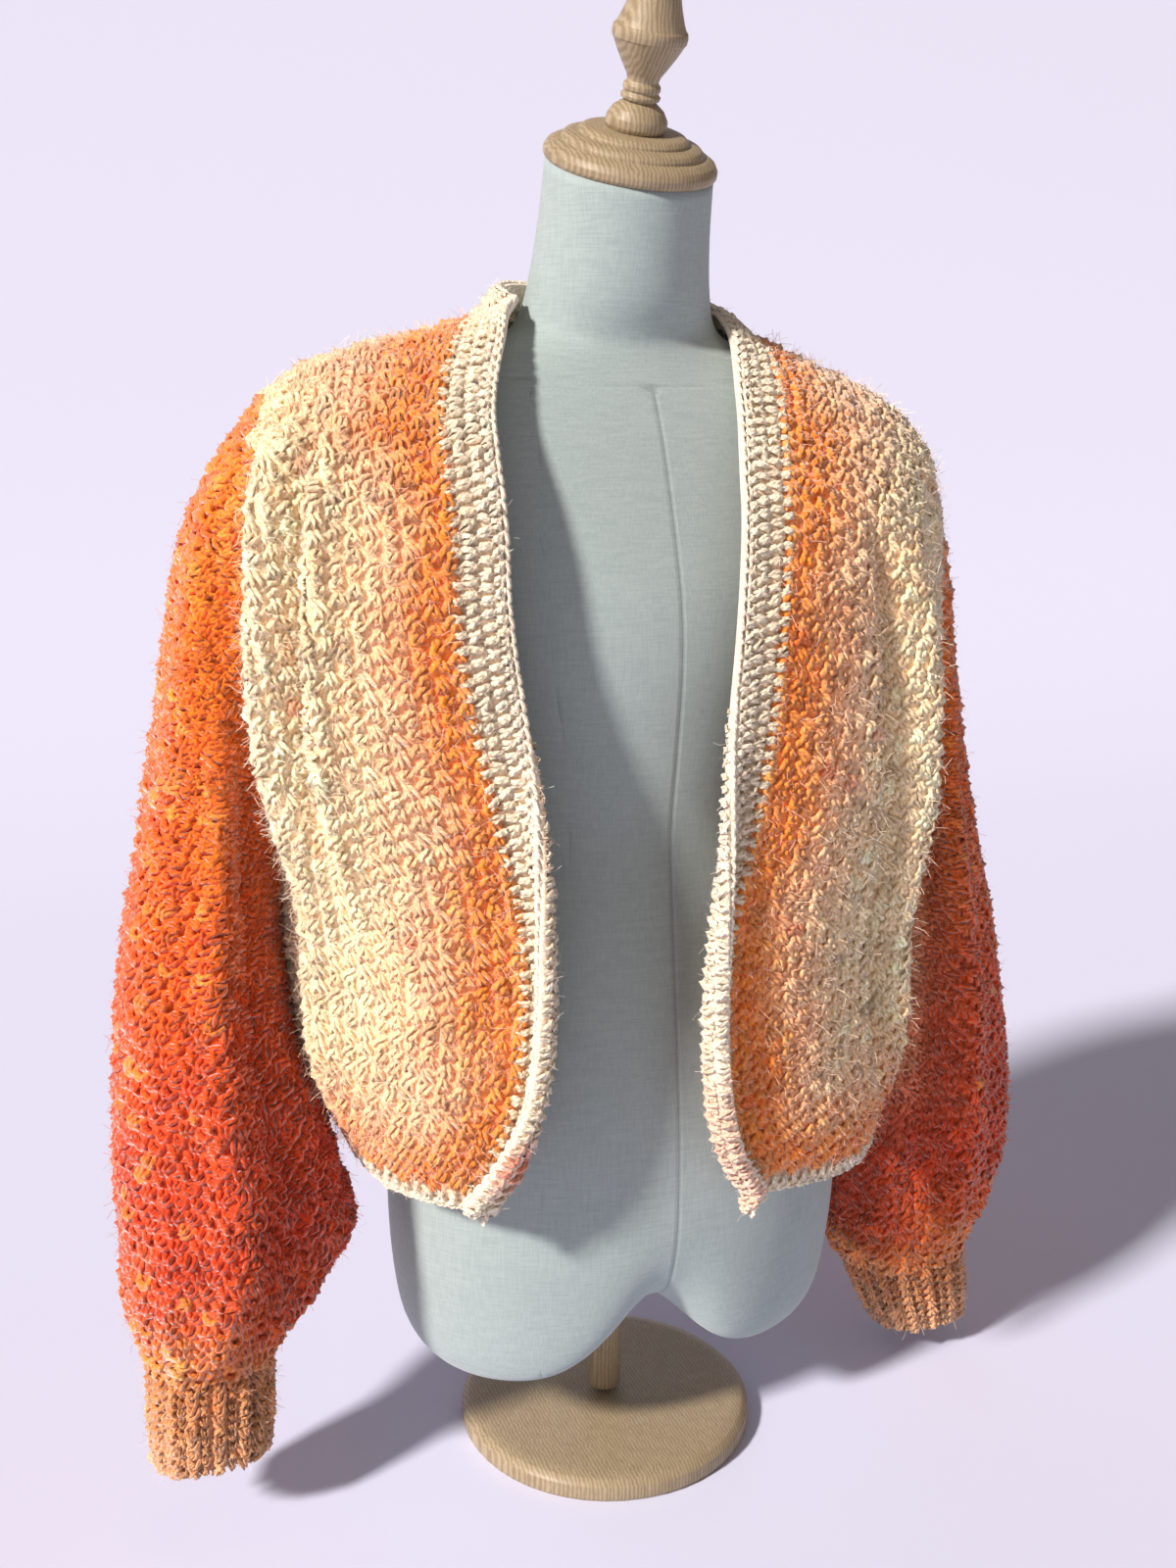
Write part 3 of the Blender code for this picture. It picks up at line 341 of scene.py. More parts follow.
# Brushed two-ply wool and mohair yarn about 3 mm thick: soft, no gloss, its colour from each stitch
def yarnMaterial(name, bright, bumpHeight, sheen, twisted):
    material, tree, shader = newMaterial(name, Roughness=0.95, Sheen_Weight=sheen, Sheen_Roughness=0.5,
                                         Specular_IOR_Level=0.12)
    colour = addNode(tree, "ShaderNodeAttribute", attribute_name="yarn")
    coords = addNode(tree, "ShaderNodeTexCoord").outputs["Object"]
    height = addNode(tree, "ShaderNodeTexNoise", {"Scale": 520.0, "Detail": 4.0}, {"Vector": coords})
    patches = addNode(tree, "ShaderNodeTexNoise", {"Scale": 120.0, "Detail": 2.0}, {"Vector": coords})
    if twisted:
        rim = addNode(tree, "ShaderNodeAttribute", attribute_name="around")
        parts = addNode(tree, "ShaderNodeSeparateXYZ", None, {0: rim.outputs["Vector"]})
        angle = addNode(tree, "ShaderNodeMath", None, {0: parts.outputs["Y"], 1: parts.outputs["X"]},
                        operation="ARCTAN2")
        along = addNode(tree, "ShaderNodeAttribute", attribute_name="along")
        phase = addNode(tree, "ShaderNodeMath", {1: 20.0}, {0: along.outputs["Fac"]}, operation="MULTIPLY")
        twice = addNode(tree, "ShaderNodeMath", {1: 2.0}, {0: angle, 2: phase}, operation="MULTIPLY_ADD")
        twist = addNode(tree, "ShaderNodeMath", None, {0: twice}, operation="SINE")
        height = addNode(tree, "ShaderNodeMath", {1: 0.16}, {0: twist, 2: height}, operation="MULTIPLY_ADD")
    # The colour follows the bump height: the low spots, and on twisted yarn the grooves between its plies,
    # are painted darker, painted shade in the hollows
    shade = addNode(tree, "ShaderNodeMapRange", {"From Min": 0.3, "From Max": 0.66, "To Min": bright * 0.72,
                                                 "To Max": bright * 1.16}, {"Value": height})
    mixed = addNode(tree, "ShaderNodeMixRGB", {"Fac": 1.0}, {"Color1": colour, "Color2": shade},
                    blend_type="MULTIPLY")
    hue = addNode(tree, "ShaderNodeMapRange", {"From Min": 0.35, "From Max": 0.65, "To Min": 0.92,
                                               "To Max": 1.06}, {"Value": patches})
    final = addNode(tree, "ShaderNodeMixRGB", {"Fac": 1.0}, {"Color1": mixed, "Color2": hue},
                    blend_type="MULTIPLY")
    tree.links.new(final.outputs["Color"], shader.inputs["Base Color"])
    bump = addNode(tree, "ShaderNodeBump", {"Strength": 0.7, "Distance": bumpHeight}, {"Height": height})
    tree.links.new(bump.outputs["Normal"], shader.inputs["Normal"])
    return material


yarn = yarnMaterial("woolYarn", 1.22, 0.0016, 0.8, True)
# The backing is drawn brighter than the yarn, painted light that lifts the shadow the stitches cast on it
backing = yarnMaterial("mattedWoolBacking", 1.4, 0.002, 0.8, False)
fibre = yarnMaterial("mohairFibre", 1.1, 0.0002, 0.2, False)
print("yarn materials ready")


def stitchTree(name, shapes, sides, steps, taper, material):
    # Each shape is a set of bezier strands in a unit square: start, its handle, the end's handle, end.
    # A third strand is thinner than the first two, with a step fewer
    tree = bpy.data.node_groups.new(name, "GeometryNodeTree")
    for label, way, kind in (("Points", "INPUT", "Geometry"), ("Stitch size", "INPUT", "Float"),
                             ("Strand radius", "INPUT", "Float"), ("Mesh", "OUTPUT", "Geometry")):
        tree.interface.new_socket(label, in_out=way, socket_type="NodeSocket" + kind)
    given = addNode(tree, "NodeGroupInput")
    thickness = given.outputs["Strand radius"]
    along = addNode(tree, "GeometryNodeSplineParameter")
    if sides > 2:
        profile = addNode(tree, "GeometryNodeCurvePrimitiveCircle", {"Resolution": sides},
                          {"Radius": thickness})
    else:
        # A flat ribbon, for hairs too fine to need a round section
        edge = addNode(tree, "ShaderNodeCombineXYZ", None, {"X": thickness})
        profile = addNode(tree, "GeometryNodeCurvePrimitiveLine", None, {"End": edge})
    spot = addNode(tree, "GeometryNodeInputPosition")
    rim = addNode(tree, "ShaderNodeVectorMath", None, {0: spot}, operation="NORMALIZE")
    profile = addNode(tree, "GeometryNodeStoreNamedAttribute", {"Name": "around"}, {0: profile, "Value": rim},
                      data_type="FLOAT_VECTOR")
    centred = addNode(tree, "ShaderNodeMath", {1: 2.0, 2: -1.0}, {0: along}, operation="MULTIPLY_ADD")
    square = addNode(tree, "ShaderNodeMath", None, {0: centred, 1: centred}, operation="MULTIPLY")
    radius = addNode(tree, "ShaderNodeMath", {1: -taper, 2: 1.0}, {0: square}, operation="MULTIPLY_ADD")
    thinner = addNode(tree, "ShaderNodeMath", {1: 0.62}, {0: radius}, operation="MULTIPLY")
    kinds = addNode(tree, "GeometryNodeJoinGeometry")
    for strands in shapes:
        joined = addNode(tree, "GeometryNodeJoinGeometry")
        for k, (start, handleA, handleB, end) in enumerate(strands):
            third = k == 2
            curve = addNode(tree, "GeometryNodeCurvePrimitiveBezierSegment",
                            {"Resolution": steps - third, "Start": start, "Start Handle": handleA,
                             "End Handle": handleB, "End": end})
            marked = addNode(tree, "GeometryNodeStoreNamedAttribute", {"Name": "along"},
                             {0: curve, "Value": along}, data_type="FLOAT")
            sized = addNode(tree, "GeometryNodeSetCurveRadius", None,
                            {"Curve": marked, "Radius": thinner if third else radius})
            tube = addNode(tree, "GeometryNodeCurveToMesh", None, {"Curve": sized, "Profile Curve": profile})
            tree.links.new(tube.outputs[0], joined.inputs[0])
        soft = addNode(tree, "GeometryNodeSetShadeSmooth", None, {0: joined})
        single = addNode(tree, "GeometryNodeGeometryToInstance", None, {0: soft})
        tree.links.new(single.outputs[0], kinds.inputs[0])
    turn = addNode(tree, "GeometryNodeInputNamedAttribute", {"Name": "turn"}, data_type="FLOAT_VECTOR")
    fit = addNode(tree, "GeometryNodeInputNamedAttribute", {"Name": "fit"}, data_type="FLOAT_VECTOR")
    kind = addNode(tree, "GeometryNodeInputNamedAttribute", {"Name": "kind"}, data_type="INT")
    rotation = addNode(tree, "FunctionNodeEulerToRotation", None, {0: turn.outputs["Attribute"]})
    scale = addNode(tree, "ShaderNodeVectorMath", None,
                    {0: fit.outputs["Attribute"], "Scale": given.outputs["Stitch size"]}, operation="SCALE")
    planted = addNode(tree, "GeometryNodeInstanceOnPoints", {"Pick Instance": True},
                      {"Points": given.outputs["Points"], "Instance": kinds, "Rotation": rotation,
                       "Instance Index": kind.outputs["Attribute"], "Scale": scale})
    real = addNode(tree, "GeometryNodeRealizeInstances", None, {0: planted})
    painted = addNode(tree, "GeometryNodeSetMaterial", {"Material": material}, {"Geometry": real})
    addNode(tree, "NodeGroupOutput", None, {0: painted})
    return tree


def eulers(x, y, z):
    tip = np.arcsin(np.clip(-x[:, 2], -1, 1))
    return np.stack([np.arctan2(y[:, 2], z[:, 2]), tip, np.arctan2(x[:, 1], x[:, 0])], -1)


def paint(mesh, colours):
    rgba = np.concatenate([colours, np.ones((len(colours), 1))], -1).astype(np.float32)
    mesh.attributes.new("yarn", "FLOAT_COLOR", "POINT").data.foreach_set("color", rgba.ravel())


def plant(name, tree, inputs, spots):
    # spots: list of (points in cm, across, normal, fit, colour)
    points, across, normal, fit, colour = [np.concatenate([s[k] for s in spots]) for k in range(5)]
    across = unit(across - normal * (across * normal).sum(-1, keepdims=True))
    turn = eulers(across, np.cross(normal, across), normal)
    mesh = bpy.data.meshes.new(name)
    mesh.vertices.add(len(points))
    mesh.vertices.foreach_set("co", toWorld(points).ravel())
    for key, kind, values in (("turn", "FLOAT_VECTOR", turn), ("fit", "FLOAT_VECTOR", fit)):
        mesh.attributes.new(key, kind, "POINT").data.foreach_set("vector", values.astype(np.float32).ravel())
    shape = dice.integers(0, 4, len(points)).astype(np.int32)
    mesh.attributes.new("kind", "INT", "POINT").data.foreach_set("value", shape)
    paint(mesh, colour)
    piece = bpy.data.objects.new(name, mesh)
    bpy.context.scene.collection.objects.link(piece)
    modifier = piece.modifiers.new("stitches", "NODES")
    modifier.node_group = tree
    sockets = {s.name: s.identifier for s in tree.interface.items_tree if s.in_out == "INPUT"}
    for key, value in inputs.items():
        modifier[sockets[key]] = value
    made = bpy.data.meshes.new_from_object(piece.evaluated_get(bpy.context.evaluated_depsgraph_get()))
    piece.modifiers.clear()
    piece.data = made
    for key in ("turn", "fit", "kind"):
        if key in made.attributes:
            made.attributes.remove(made.attributes[key])
    finishPiece(piece)
    return piece


def finishPiece(piece):
    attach(piece, "root")


def meshPiece(name, points, faces, material, colours=None):
    mesh = bpy.data.meshes.new(name)
    mesh.from_pydata(toWorld(points).tolist(), [], faces)
    mesh.materials.append(material)
    if colours is not None:
        paint(mesh, colours)
    shell = bmesh.new()
    shell.from_mesh(mesh)
    bmesh.ops.recalc_face_normals(shell, faces=shell.faces)
    shell.to_mesh(mesh)
    shell.free()
    mesh.shade_smooth()
    piece = bpy.data.objects.new(name, mesh)
    bpy.context.scene.collection.objects.link(piece)
    finishPiece(piece)
    return piece


def gridFaces(rows, cols, span):
    return [(i * cols + j, i * cols + (j + 1) % cols, (i + 1) * cols + (j + 1) % cols, (i + 1) * cols + j)
            for i in range(rows - 1) for j in range(span)]


def clothShell(name, outer, inner, colours, closed, gap="shadow"):
    # Thin wall between two grids of points, with its rims. Its colour is the given colours blended a little
    # toward a darker gap colour: painted shade in the gaps between the stitches
    rows, cols = outer.shape[:2]
    span = cols if closed else cols - 1
    points = np.concatenate([outer.reshape(-1, 3), inner.reshape(-1, 3)])
    half = rows * cols
    faces = []
    for quad in gridFaces(rows, cols, span):
        faces.append(quad)
        faces.append(tuple(half + q for q in quad[::-1]))
    for i in (0, rows - 1):
        for j in range(span):
            k = (j + 1) % cols
            faces.append((i * cols + j, i * cols + k, half + i * cols + k, half + i * cols + j))
    if not closed:
        for j in (0, cols - 1):
            for i in range(rows - 1):
                here, below = i * cols + j, (i + 1) * cols + j
                faces.append((here, below, half + below, half + here))
    gapShadedColours = blendTo(np.concatenate([colours.reshape(-1, 3)] * 2), yarnDyesAndShade[gap], yarnDyesAndShade["gapShadeShare"])
    return meshPiece(name, points, faces, backing, gapShadedColours)


def sway(n, amount):
    return 1 + amount * dice.normal(0, 1, n)


def turned(across, normal, degrees):
    along = np.cross(normal, across)
    angle = np.radians(degrees)[:, None]
    return across * np.cos(angle) + along * np.sin(angle)


def stitchRow(at, side, out, sizes, sways, swing, turn=0.0):
    # A row of stitches, each turned in degrees and sized a little at random
    n = len(at)
    aim = turned(side, out, turn + dice.normal(0, swing, n))
    return at, aim, out, np.stack([size * sway(n, amount) for size, amount in zip(sizes, sways)], -1)


# Lopsided Vs and crossed commas, as crochet in a fluffy yarn shows on its face
loopShapes = (
    (((0.06, -0.62, -0.14), (-0.22, -0.30, 0.42), (-0.50, 0.10, 0.40), (-0.40, 0.56, -0.16)),
     ((-0.06, -0.58, -0.10), (0.16, -0.20, 0.50), (0.46, 0.06, 0.34), (0.44, 0.60, -0.16)),
     ((-0.50, -0.10, -0.1), (-0.30, 0.30, 0.50), (0.10, 0.10, 0.60), (0.30, -0.36, -0.1))),
    (((0.22, -0.60, -0.14), (-0.05, -0.36, 0.48), (-0.60, 0.02, 0.44), (-0.50, 0.48, -0.16)),
     ((0.02, -0.30, -0.06), (0.12, 0.02, 0.40), (0.40, 0.24, 0.36), (0.40, 0.62, -0.16)),
     ((0.40, -0.50, -0.1), (0.10, -0.10, 0.56), (-0.20, 0.16, 0.52), (-0.10, 0.66, -0.1))),
    (((-0.24, -0.58, -0.12), (0.05, -0.34, 0.46), (0.56, -0.04, 0.46), (0.52, 0.46, -0.16)),
     ((-0.04, -0.24, -0.06), (-0.16, 0.04, 0.44), (-0.42, 0.20, 0.34), (-0.36, 0.66, -0.16)),
     ((-0.46, -0.36, -0.1), (-0.20, 0.00, 0.60), (0.20, 0.26, 0.50), (0.14, 0.62, -0.1))),
    (((-0.48, -0.44, -0.12), (-0.30, 0.06, 0.52), (0.10, 0.24, 0.46), (0.46, 0.16, -0.12)),
     ((0.34, -0.50, -0.12), (0.26, -0.10, 0.46), (-0.06, 0.36, 0.44), (-0.40, 0.56, -0.14)),
     ((-0.10, -0.62, -0.1), (0.20, -0.30, 0.56), (0.40, 0.20, 0.50), (0.20, 0.62, -0.1))))
postShapes = (
    (((-0.62, -0.24, -0.14), (-0.30, 0.16, 0.52), (0.26, 0.34, 0.44), (0.60, 0.06, -0.14)),
     ((-0.56, 0.24, -0.14), (-0.20, -0.26, 0.40), (0.24, -0.40, 0.42), (0.62, -0.16, -0.14))),
    (((-0.60, -0.10, -0.14), (-0.26, 0.30, 0.48), (0.20, 0.22, 0.50), (0.62, -0.20, -0.14)),
     ((-0.60, 0.30, -0.14), (-0.24, -0.20, 0.40), (0.30, -0.34, 0.40), (0.58, 0.18, -0.14))),
    (((-0.58, -0.30, -0.14), (-0.20, -0.16, 0.54), (0.20, 0.44, 0.44), (0.60, 0.26, -0.14)),
     ((-0.62, 0.06, -0.14), (-0.26, 0.40, 0.40), (0.24, -0.40, 0.42), (0.60, -0.30, -0.14))),
    (((-0.62, 0.10, -0.14), (-0.24, -0.34, 0.50), (0.20, -0.24, 0.46), (0.60, 0.20, -0.14)),
     ((-0.56, -0.30, -0.14), (-0.26, 0.26, 0.40), (0.24, 0.36, 0.42), (0.62, -0.04, -0.14))))
chainShapes = ((((-0.72, 0.0, -0.05), (-0.2, 0.40, 0.2), (0.3, 0.34, 0.26), (0.62, 0.02, 0.12)),
                ((-0.72, 0.0, -0.05), (-0.2, -0.40, 0.2), (0.3, -0.34, 0.26), (0.62, -0.02, 0.12))),) * 4
hairShapes = (
    (((0, 0, 0), (0.05, 0.02, 0.35), (0.30, 0.05, 0.62), (0.72, 0.0, 0.70)),),
    (((0, 0, 0), (0.30, 0.10, 0.30), (0.20, 0.30, 0.70), (-0.20, 0.35, 0.85)),),
    (((0, 0, 0), (-0.20, 0.15, 0.20), (-0.60, 0.10, 0.30), (-0.85, -0.20, 0.22)),),
    (((0, 0, 0), (0.02, -0.20, 0.45), (0.35, -0.30, 0.40), (0.60, -0.05, 0.10)),))
stitchTrees = dict(
    loop=stitchTree("crochetLoops", loopShapes, 3, 3, 0.7, yarn),
    post=stitchTree("bandPosts", postShapes, 3, 3, 0.5, yarn),
    chain=stitchTree("edgeChain", chainShapes, 4, 3, 0.4, yarn),
    fuzz=stitchTree("mohairHairs", hairShapes, 2, 2, 0.6, fibre))
crochet = dict(column=1.18, row=1.1, size=0.0113, strand=0.21, lift=-0.04, shellLift=0.05, shellDepth=0.4,
               fuzzSize=0.0115, fuzzStrand=0.02, samples=160, evenSizes=(1, 1, 1), sways=(0.08, 0.08, 0.14))
loops = {"Stitch size": crochet["size"], "Strand radius": crochet["strand"]}
hairs = {"Stitch size": crochet["fuzzSize"], "Strand radius": crochet["fuzzStrand"]}
print("stitch trees ready")


def fuzzOver(points, normals, colours, count, reach=1.0, white=0.55):
    pick = dice.integers(0, len(points), count)
    scatter = dice.normal(0, 0.33, (count, 3))
    base = points[pick] + scatter - normals[pick] * (scatter * normals[pick]).sum(-1, keepdims=True)
    lean = unit(normals[pick] + dice.normal(0, 0.55, (count, 3)))
    aside = unit(np.cross(lean, dice.normal(0, 1, (count, 3))))
    length = reach * np.clip(dice.lognormal(-0.1, 0.4, count), 0.4, 1.3)[:, None]
    pale = blendTo(colours[pick], yarnDyesAndShade["hairTip"], white)
    return base + normals[pick] * 0.05, aside, lean, np.repeat(length, 3, axis=1), pale


def dress(shell, stem, node, layers, fluff):
    # layers: name's ending, stitch, sizes and rows of each. The hairs stand over the first
    made = [plant(stem + ending, stitchTrees[stitch], sizes, spots)
            for ending, stitch, sizes, spots in layers]
    at, _, out, _, tone = [np.concatenate([s[k] for s in layers[0][3]]) for k in range(5)]
    made.append(plant(stem + "Mohair", stitchTrees["fuzz"], hairs, [fuzzOver(at, out, tone, *fluff)]))
    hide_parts(node)
    print(stem, "has", len(at), "stitches")
    return shell, made


def rowShares(length, pitch):
    # Two rows of half the stitches for each pitch, so that the columns are staggered
    count = max(int(round(2 * length / pitch)), 2)
    return (np.arange(count) + 0.5) / count


panels = dict(
    right=dict(stem="rightFront", node="right_front", rows=66, cols=44, hairs=16500, reach=1.0),
    left=dict(stem="leftFront", node="left_front", rows=66, cols=48, hairs=13000, reach=1.0),
    back=dict(stem="back", node="back", rows=56, cols=72, hairs=6500, reach=0.65))


def panelEdges(panel, level, across, width):
    # Distances in cm from the front or neck edge, and from the hem
    if panel == "back":
        edge = np.hypot((body["top"] - level) * 3.2, 0.18 * width * np.abs(across - 0.5))
        edge = np.where(level > 8, edge, 40)
    else:
        edge = across * width
    return edge, np.interp(level, range(len(body["z"])), np.array(body["z"]) - body["z"][0])


for panel, plan in panels.items():
    levels = np.linspace(0, body["top"], plan["rows"])[:, None]
    shares = np.linspace(0, 1, plan["cols"])[None, :]
    bearing = panelBearing(panel, levels, shares)
    levels = levels + 0 * shares
    surface, normal = bodySurface(levels, bearing), bodyNormal(levels, bearing)
    width = np.linalg.norm(np.diff(surface, axis=1), axis=-1).sum(1)
    edge, hemEdge = panelEdges(panel, levels, shares, width[:, None])
    colours = bodyColour(levels, edge, hemEdge, bearing)
    shell = clothShell(plan["stem"] + "Cloth", surface + normal * crochet["shellLift"],
                       surface - normal * crochet["shellDepth"], colours, False)
    # Stitches in staggered columns beside the front edge, or beside the middle of the back
    heights = np.linalg.norm(np.diff(surface, axis=0), axis=-1)
    height = 0.5 * (heights[:, plan["cols"] // 2] + heights.max(1))
    climb = np.concatenate([[0], np.cumsum(height)])
    rows = np.interp(rowShares(climb[-1], crochet["row"]) * climb[-1], climb, levels[:, 0])
    fine = np.linspace(0, 1, crochet["samples"])
    spots = []
    for r, level in enumerate(rows):
        run = runAlong(bodySurface(level, panelBearing(panel, level, fine)))
        count = max(int(round(run[-1] / crochet["column"])), 1)
        across = (np.arange(count) + 0.5) / count
        if panel != "back":
            steps = (np.arange(count + 1) + 0.5) * crochet["column"]
            across = steps[steps < run[-1] - 0.2] / run[-1]
        across = across[(np.arange(len(across)) + r) % 2 == 0]
        share = np.interp(across * run[-1], run, fine)
        turns = panelBearing(panel, level, share)
        n = len(turns)
        at, out = bodySurface(level, turns), bodyNormal(level, turns)
        side = unit(bodySurface(level, turns + 0.01) - at)
        edge, hemEdge = panelEdges(panel, np.full(n, level), share, run[-1])
        tone = mottle(bodyColour(np.full(n, level), edge, hemEdge, turns), 1.0, 0.007)
        lifted = at + out * crochet["lift"]
        spots.append((*stitchRow(lifted, side, out, crochet["evenSizes"], crochet["sways"], 9), tone))
    dress(shell, plan["stem"], plan["node"],
                             [("Stitches", "loop", loops, spots)], (plan["hairs"], plan["reach"]))

sleevePieces = dict(
    right=dict(stem="rightSleeve", node="right_sleeve", hairs=11000),
    left=dict(stem="leftSleeve", node="left_sleeve", hairs=8000),
    rows=60, cols=60, reach=0.85, white=0.1)


def sleeveColour(side, ring, angle):
    part = ring / sleeves["last"] + 0.03 * np.sin(angle * 3 + ring * 2) + 0.02 * np.sin(angle * 7 + ring * 5)
    colours = ramp(yarnDyesAndShade["sleeve"], np.clip(part, 0, 1))
    turn = np.degrees(angle) % 360
    # Painted shade: the faces turned toward the body, from the front round under to the back, are darkened
    # toward a deep red, fading out at the cuff
    under = (0.55 * ease((turn - 80) / 35) * ease((285 - turn) / 35) * ease((0.93 - part) * 8))[..., None]
    colours = blendTo(colours, yarnDyesAndShade["innerFaceShade"], under)
    if side == "left":
        pale = (0.55 * ease((0.75 - part) * 3) * np.exp(-((turn - 150) / 40) ** 2))[..., None]
        colours = blendTo(colours, yarnDyesAndShade["paleFace"], pale)
    return colours


for side in ("right", "left"):
    plan = sleevePieces[side]
    rings = np.linspace(0, sleeves["last"], sleevePieces["rows"])[:, None]
    angles = np.linspace(0, 2 * np.pi, sleevePieces["cols"], endpoint=False)[None, :]
    surface, normal = sleeveSurface(side, rings, angles), sleeveNormal(side, rings + 0 * angles, angles)
    colours = sleeveColour(side, rings + 0 * angles, angles + 0 * rings)
    # The sleeve shells are blended toward a deep red: painted shade in the gaps between their stitches
    shell = clothShell(plan["stem"] + "Cloth", surface + normal * crochet["shellLift"],
                       surface - normal * crochet["shellDepth"], colours, True, "sleeveGapShade")
    # Rings of stitches, spaced by the mean of the lengths down the middle and down the outer edge
    fall = 0.5 * (runAlong(surface.mean(1)) + runAlong(surface[:, 0]))
    rows = np.interp(rowShares(fall[-1], crochet["row"] * 2) * fall[-1], fall, rings[:, 0])
    fine = np.linspace(0, 2 * np.pi, crochet["samples"] + 1)
    spots = []
    for r, ring in enumerate(rows):
        run = runAlong(sleeveSurface(side, ring, fine))
        count = int(round(run[-1] / crochet["column"]))
        angle = np.interp((np.arange(count) + 0.5 * (r % 2)) / count * run[-1], run, fine)
        n = len(angle)
        at, out = sleeveSurface(side, ring, angle), sleeveNormal(side, np.full(n, ring), angle)
        around = unit(sleeveSurface(side, ring, angle + 0.01) - at)
        outward = np.clip(out[:, :1] * sleeves[side]["sign"], 0, 1)
        tone = mottle(sleeveColour(side, np.full(n, ring), angle), 1.1, 0.14 * outward)
        lifted = at + out * crochet["lift"]
        spots.append((*stitchRow(lifted, around, out, crochet["evenSizes"], crochet["sways"], 11), tone))
    dress(
        shell, plan["stem"], plan["node"], [("Stitches", "loop", loops, spots)],
        (plan["hairs"], sleevePieces["reach"], sleevePieces["white"]))

cuffPieces = dict(
    right=dict(stem="rightCuff", node="right_cuff", hairs=1300),
    left=dict(stem="leftCuff", node="left_cuff", hairs=1200),
    ribs=16, relief=0.24, rows=10, cols=96, rowPitch=0.72, reach=0.8)

for side in ("right", "left"):
    plan = cuffPieces[side]
    downs = np.linspace(0, 1, cuffPieces["rows"])[:, None]
    angles = np.linspace(0, 2 * np.pi, cuffPieces["cols"], endpoint=False)[None, :]
    rib = cuffPieces["relief"] * (0.5 * np.cos(cuffPieces["ribs"] * angles)) + 0 * downs
    outer = cuffSurface(side, downs + 0 * angles, angles + 0 * downs, rib - 0.06)
    inner = cuffSurface(side, downs + 0 * angles, angles + 0 * downs, rib * 0 - 0.42)
    colours = ramp(yarnDyesAndShade["cuff"], downs + 0 * angles)
    shell = clothShell(plan["stem"] + "Cloth", outer, inner, colours, True)
    spots = []
    ribAngles = 2 * np.pi * np.arange(cuffPieces["ribs"]) / cuffPieces["ribs"]
    crestAndGroove = ((0, 0.5 * cuffPieces["relief"], 0.98), (np.pi / cuffPieces["ribs"], -0.02, 0.7))
    for down in np.linspace(0.05, 0.97, int(sleeves[side]["cuff"] / cuffPieces["rowPitch"])):
        for offset, lift, size in crestAndGroove:
            angle = ribAngles + offset
            n = len(angle)
            at = cuffSurface(side, np.full(n, down), angle, np.full(n, lift))
            ahead = cuffSurface(side, np.full(n, down), angle + 0.02, np.full(n, lift))
            below = cuffSurface(side, np.full(n, down + 0.02), angle, np.full(n, lift))
            around = unit(ahead - at)
            out = unit(np.cross(around, below - at)) * sleeves[side]["sign"]
            # Stitches in the grooves between the ribs are a fifth darker: painted shade in the grooves
            tone = mottle(ramp(yarnDyesAndShade["cuff"], np.full(n, down))) * (1 if size > 0.9 else 0.8)
            sizes = (0.8 * size, 0.92 * size, 1)
            spots.append((*stitchRow(at, around, out, sizes, (0.06, 0.06, 0.1), 8), tone))
    dress(
        shell, plan["stem"], plan["node"], [("Stitches", "loop", loops, spots)],
        (plan["hairs"], cuffPieces["reach"]))

# Front band: worked along both fronts and round the neck, rolled outwards at the lower ends
band = dict(
    width=3.1, flap=0.9, flapStart=1.5, flapFade=9.0, patchAt=5.5, flatness=0.72, riseSide=55.0,
    riseBack=12.0, steps=150, neckSteps=40, meshSteps=300, meshAcross=11, depth=0.40, pitch=0.86, hairs=5500,
    tips=dict(right=((1.4, 0.5), (0.8, 0.85)), left=((2.6, 0.4), (1.5, 0.75))),
    # Rows of posts: share of the width, on the wrong side or not, size, shift along
    rows=((-0.06, False, 0.9, 0.0), (0.22, False, 1.0, 0.5), (0.56, False, 1.0, 0.0), (0.80, False, 0.7, 0.5),
          (0.22, True, 1.05, 0.5), (0.54, True, 1.0, 0.0), (0.84, True, 0.9, 0.5)))


def bandPath():
    rows = []
    for side in ("right", "left"):
        levels = np.linspace(0, body["top"], band["steps"])
        turns = frontEnd(side, levels)
        points = bodySurface(levels, turns)
        roll = smooth(body, "rollRight" if side == "right" else "rollLeft", levels)
        first, last = band["tips"][side][1], band["tips"][side][0]
        drops = np.linspace(last[0], 0, 9)[:-1]
        shares = np.interp(drops, [0, first[0], last[0]], [1, first[1], last[1]])
        tip = np.stack([points[0] - np.array([0, 0, d]) for d in drops])
        half = dict(point=np.concatenate([tip, points]), level=np.concatenate([0 * drops, levels]),
                    bearing=np.concatenate([0 * drops + turns[0], turns]),
                    width=np.concatenate([shares, 0 * levels + 1]),
                    roll=np.concatenate([0 * drops + roll[0], np.maximum(roll, 0)]))
        rows.append(half)
    ends = rows[0]["bearing"][-1], rows[1]["bearing"][-1] + 2 * np.pi
    bearing = np.linspace(*ends, band["neckSteps"])[1:-1]
    level = 0 * bearing + body["top"]
    neck = dict(point=bodySurface(level, bearing), level=level, bearing=bearing, width=0 * bearing + 1,
                roll=0 * bearing)
    return {k: np.concatenate([rows[0][k], neck[k], rows[1][k][::-1]]) for k in neck}


path = bandPath()
along = unit(np.gradient(path["point"], axis=0))
normal = bodyNormal(path["level"], path["bearing"])
roundNeck = ease((path["level"] - 11.0) / 3.0)[:, None]
outward = unit((path["point"] - np.array([0, 0.8, 0])) * np.array([1, 1, 0]))
rise = np.radians(band["riseSide"] + (band["riseBack"] - band["riseSide"]) * ease(outward[:, 1:2]))
collar = outward * np.cos(rise) + np.array([0, 0, 1]) * np.sin(rise)
normal = normal * (1 - roundNeck) + collar * roundNeck
across = unit(np.cross(along, normal))
normal = unit(np.cross(across, along))
path.update(along=along, across=across, normal=normal)
path["run"] = runAlong(path["point"])


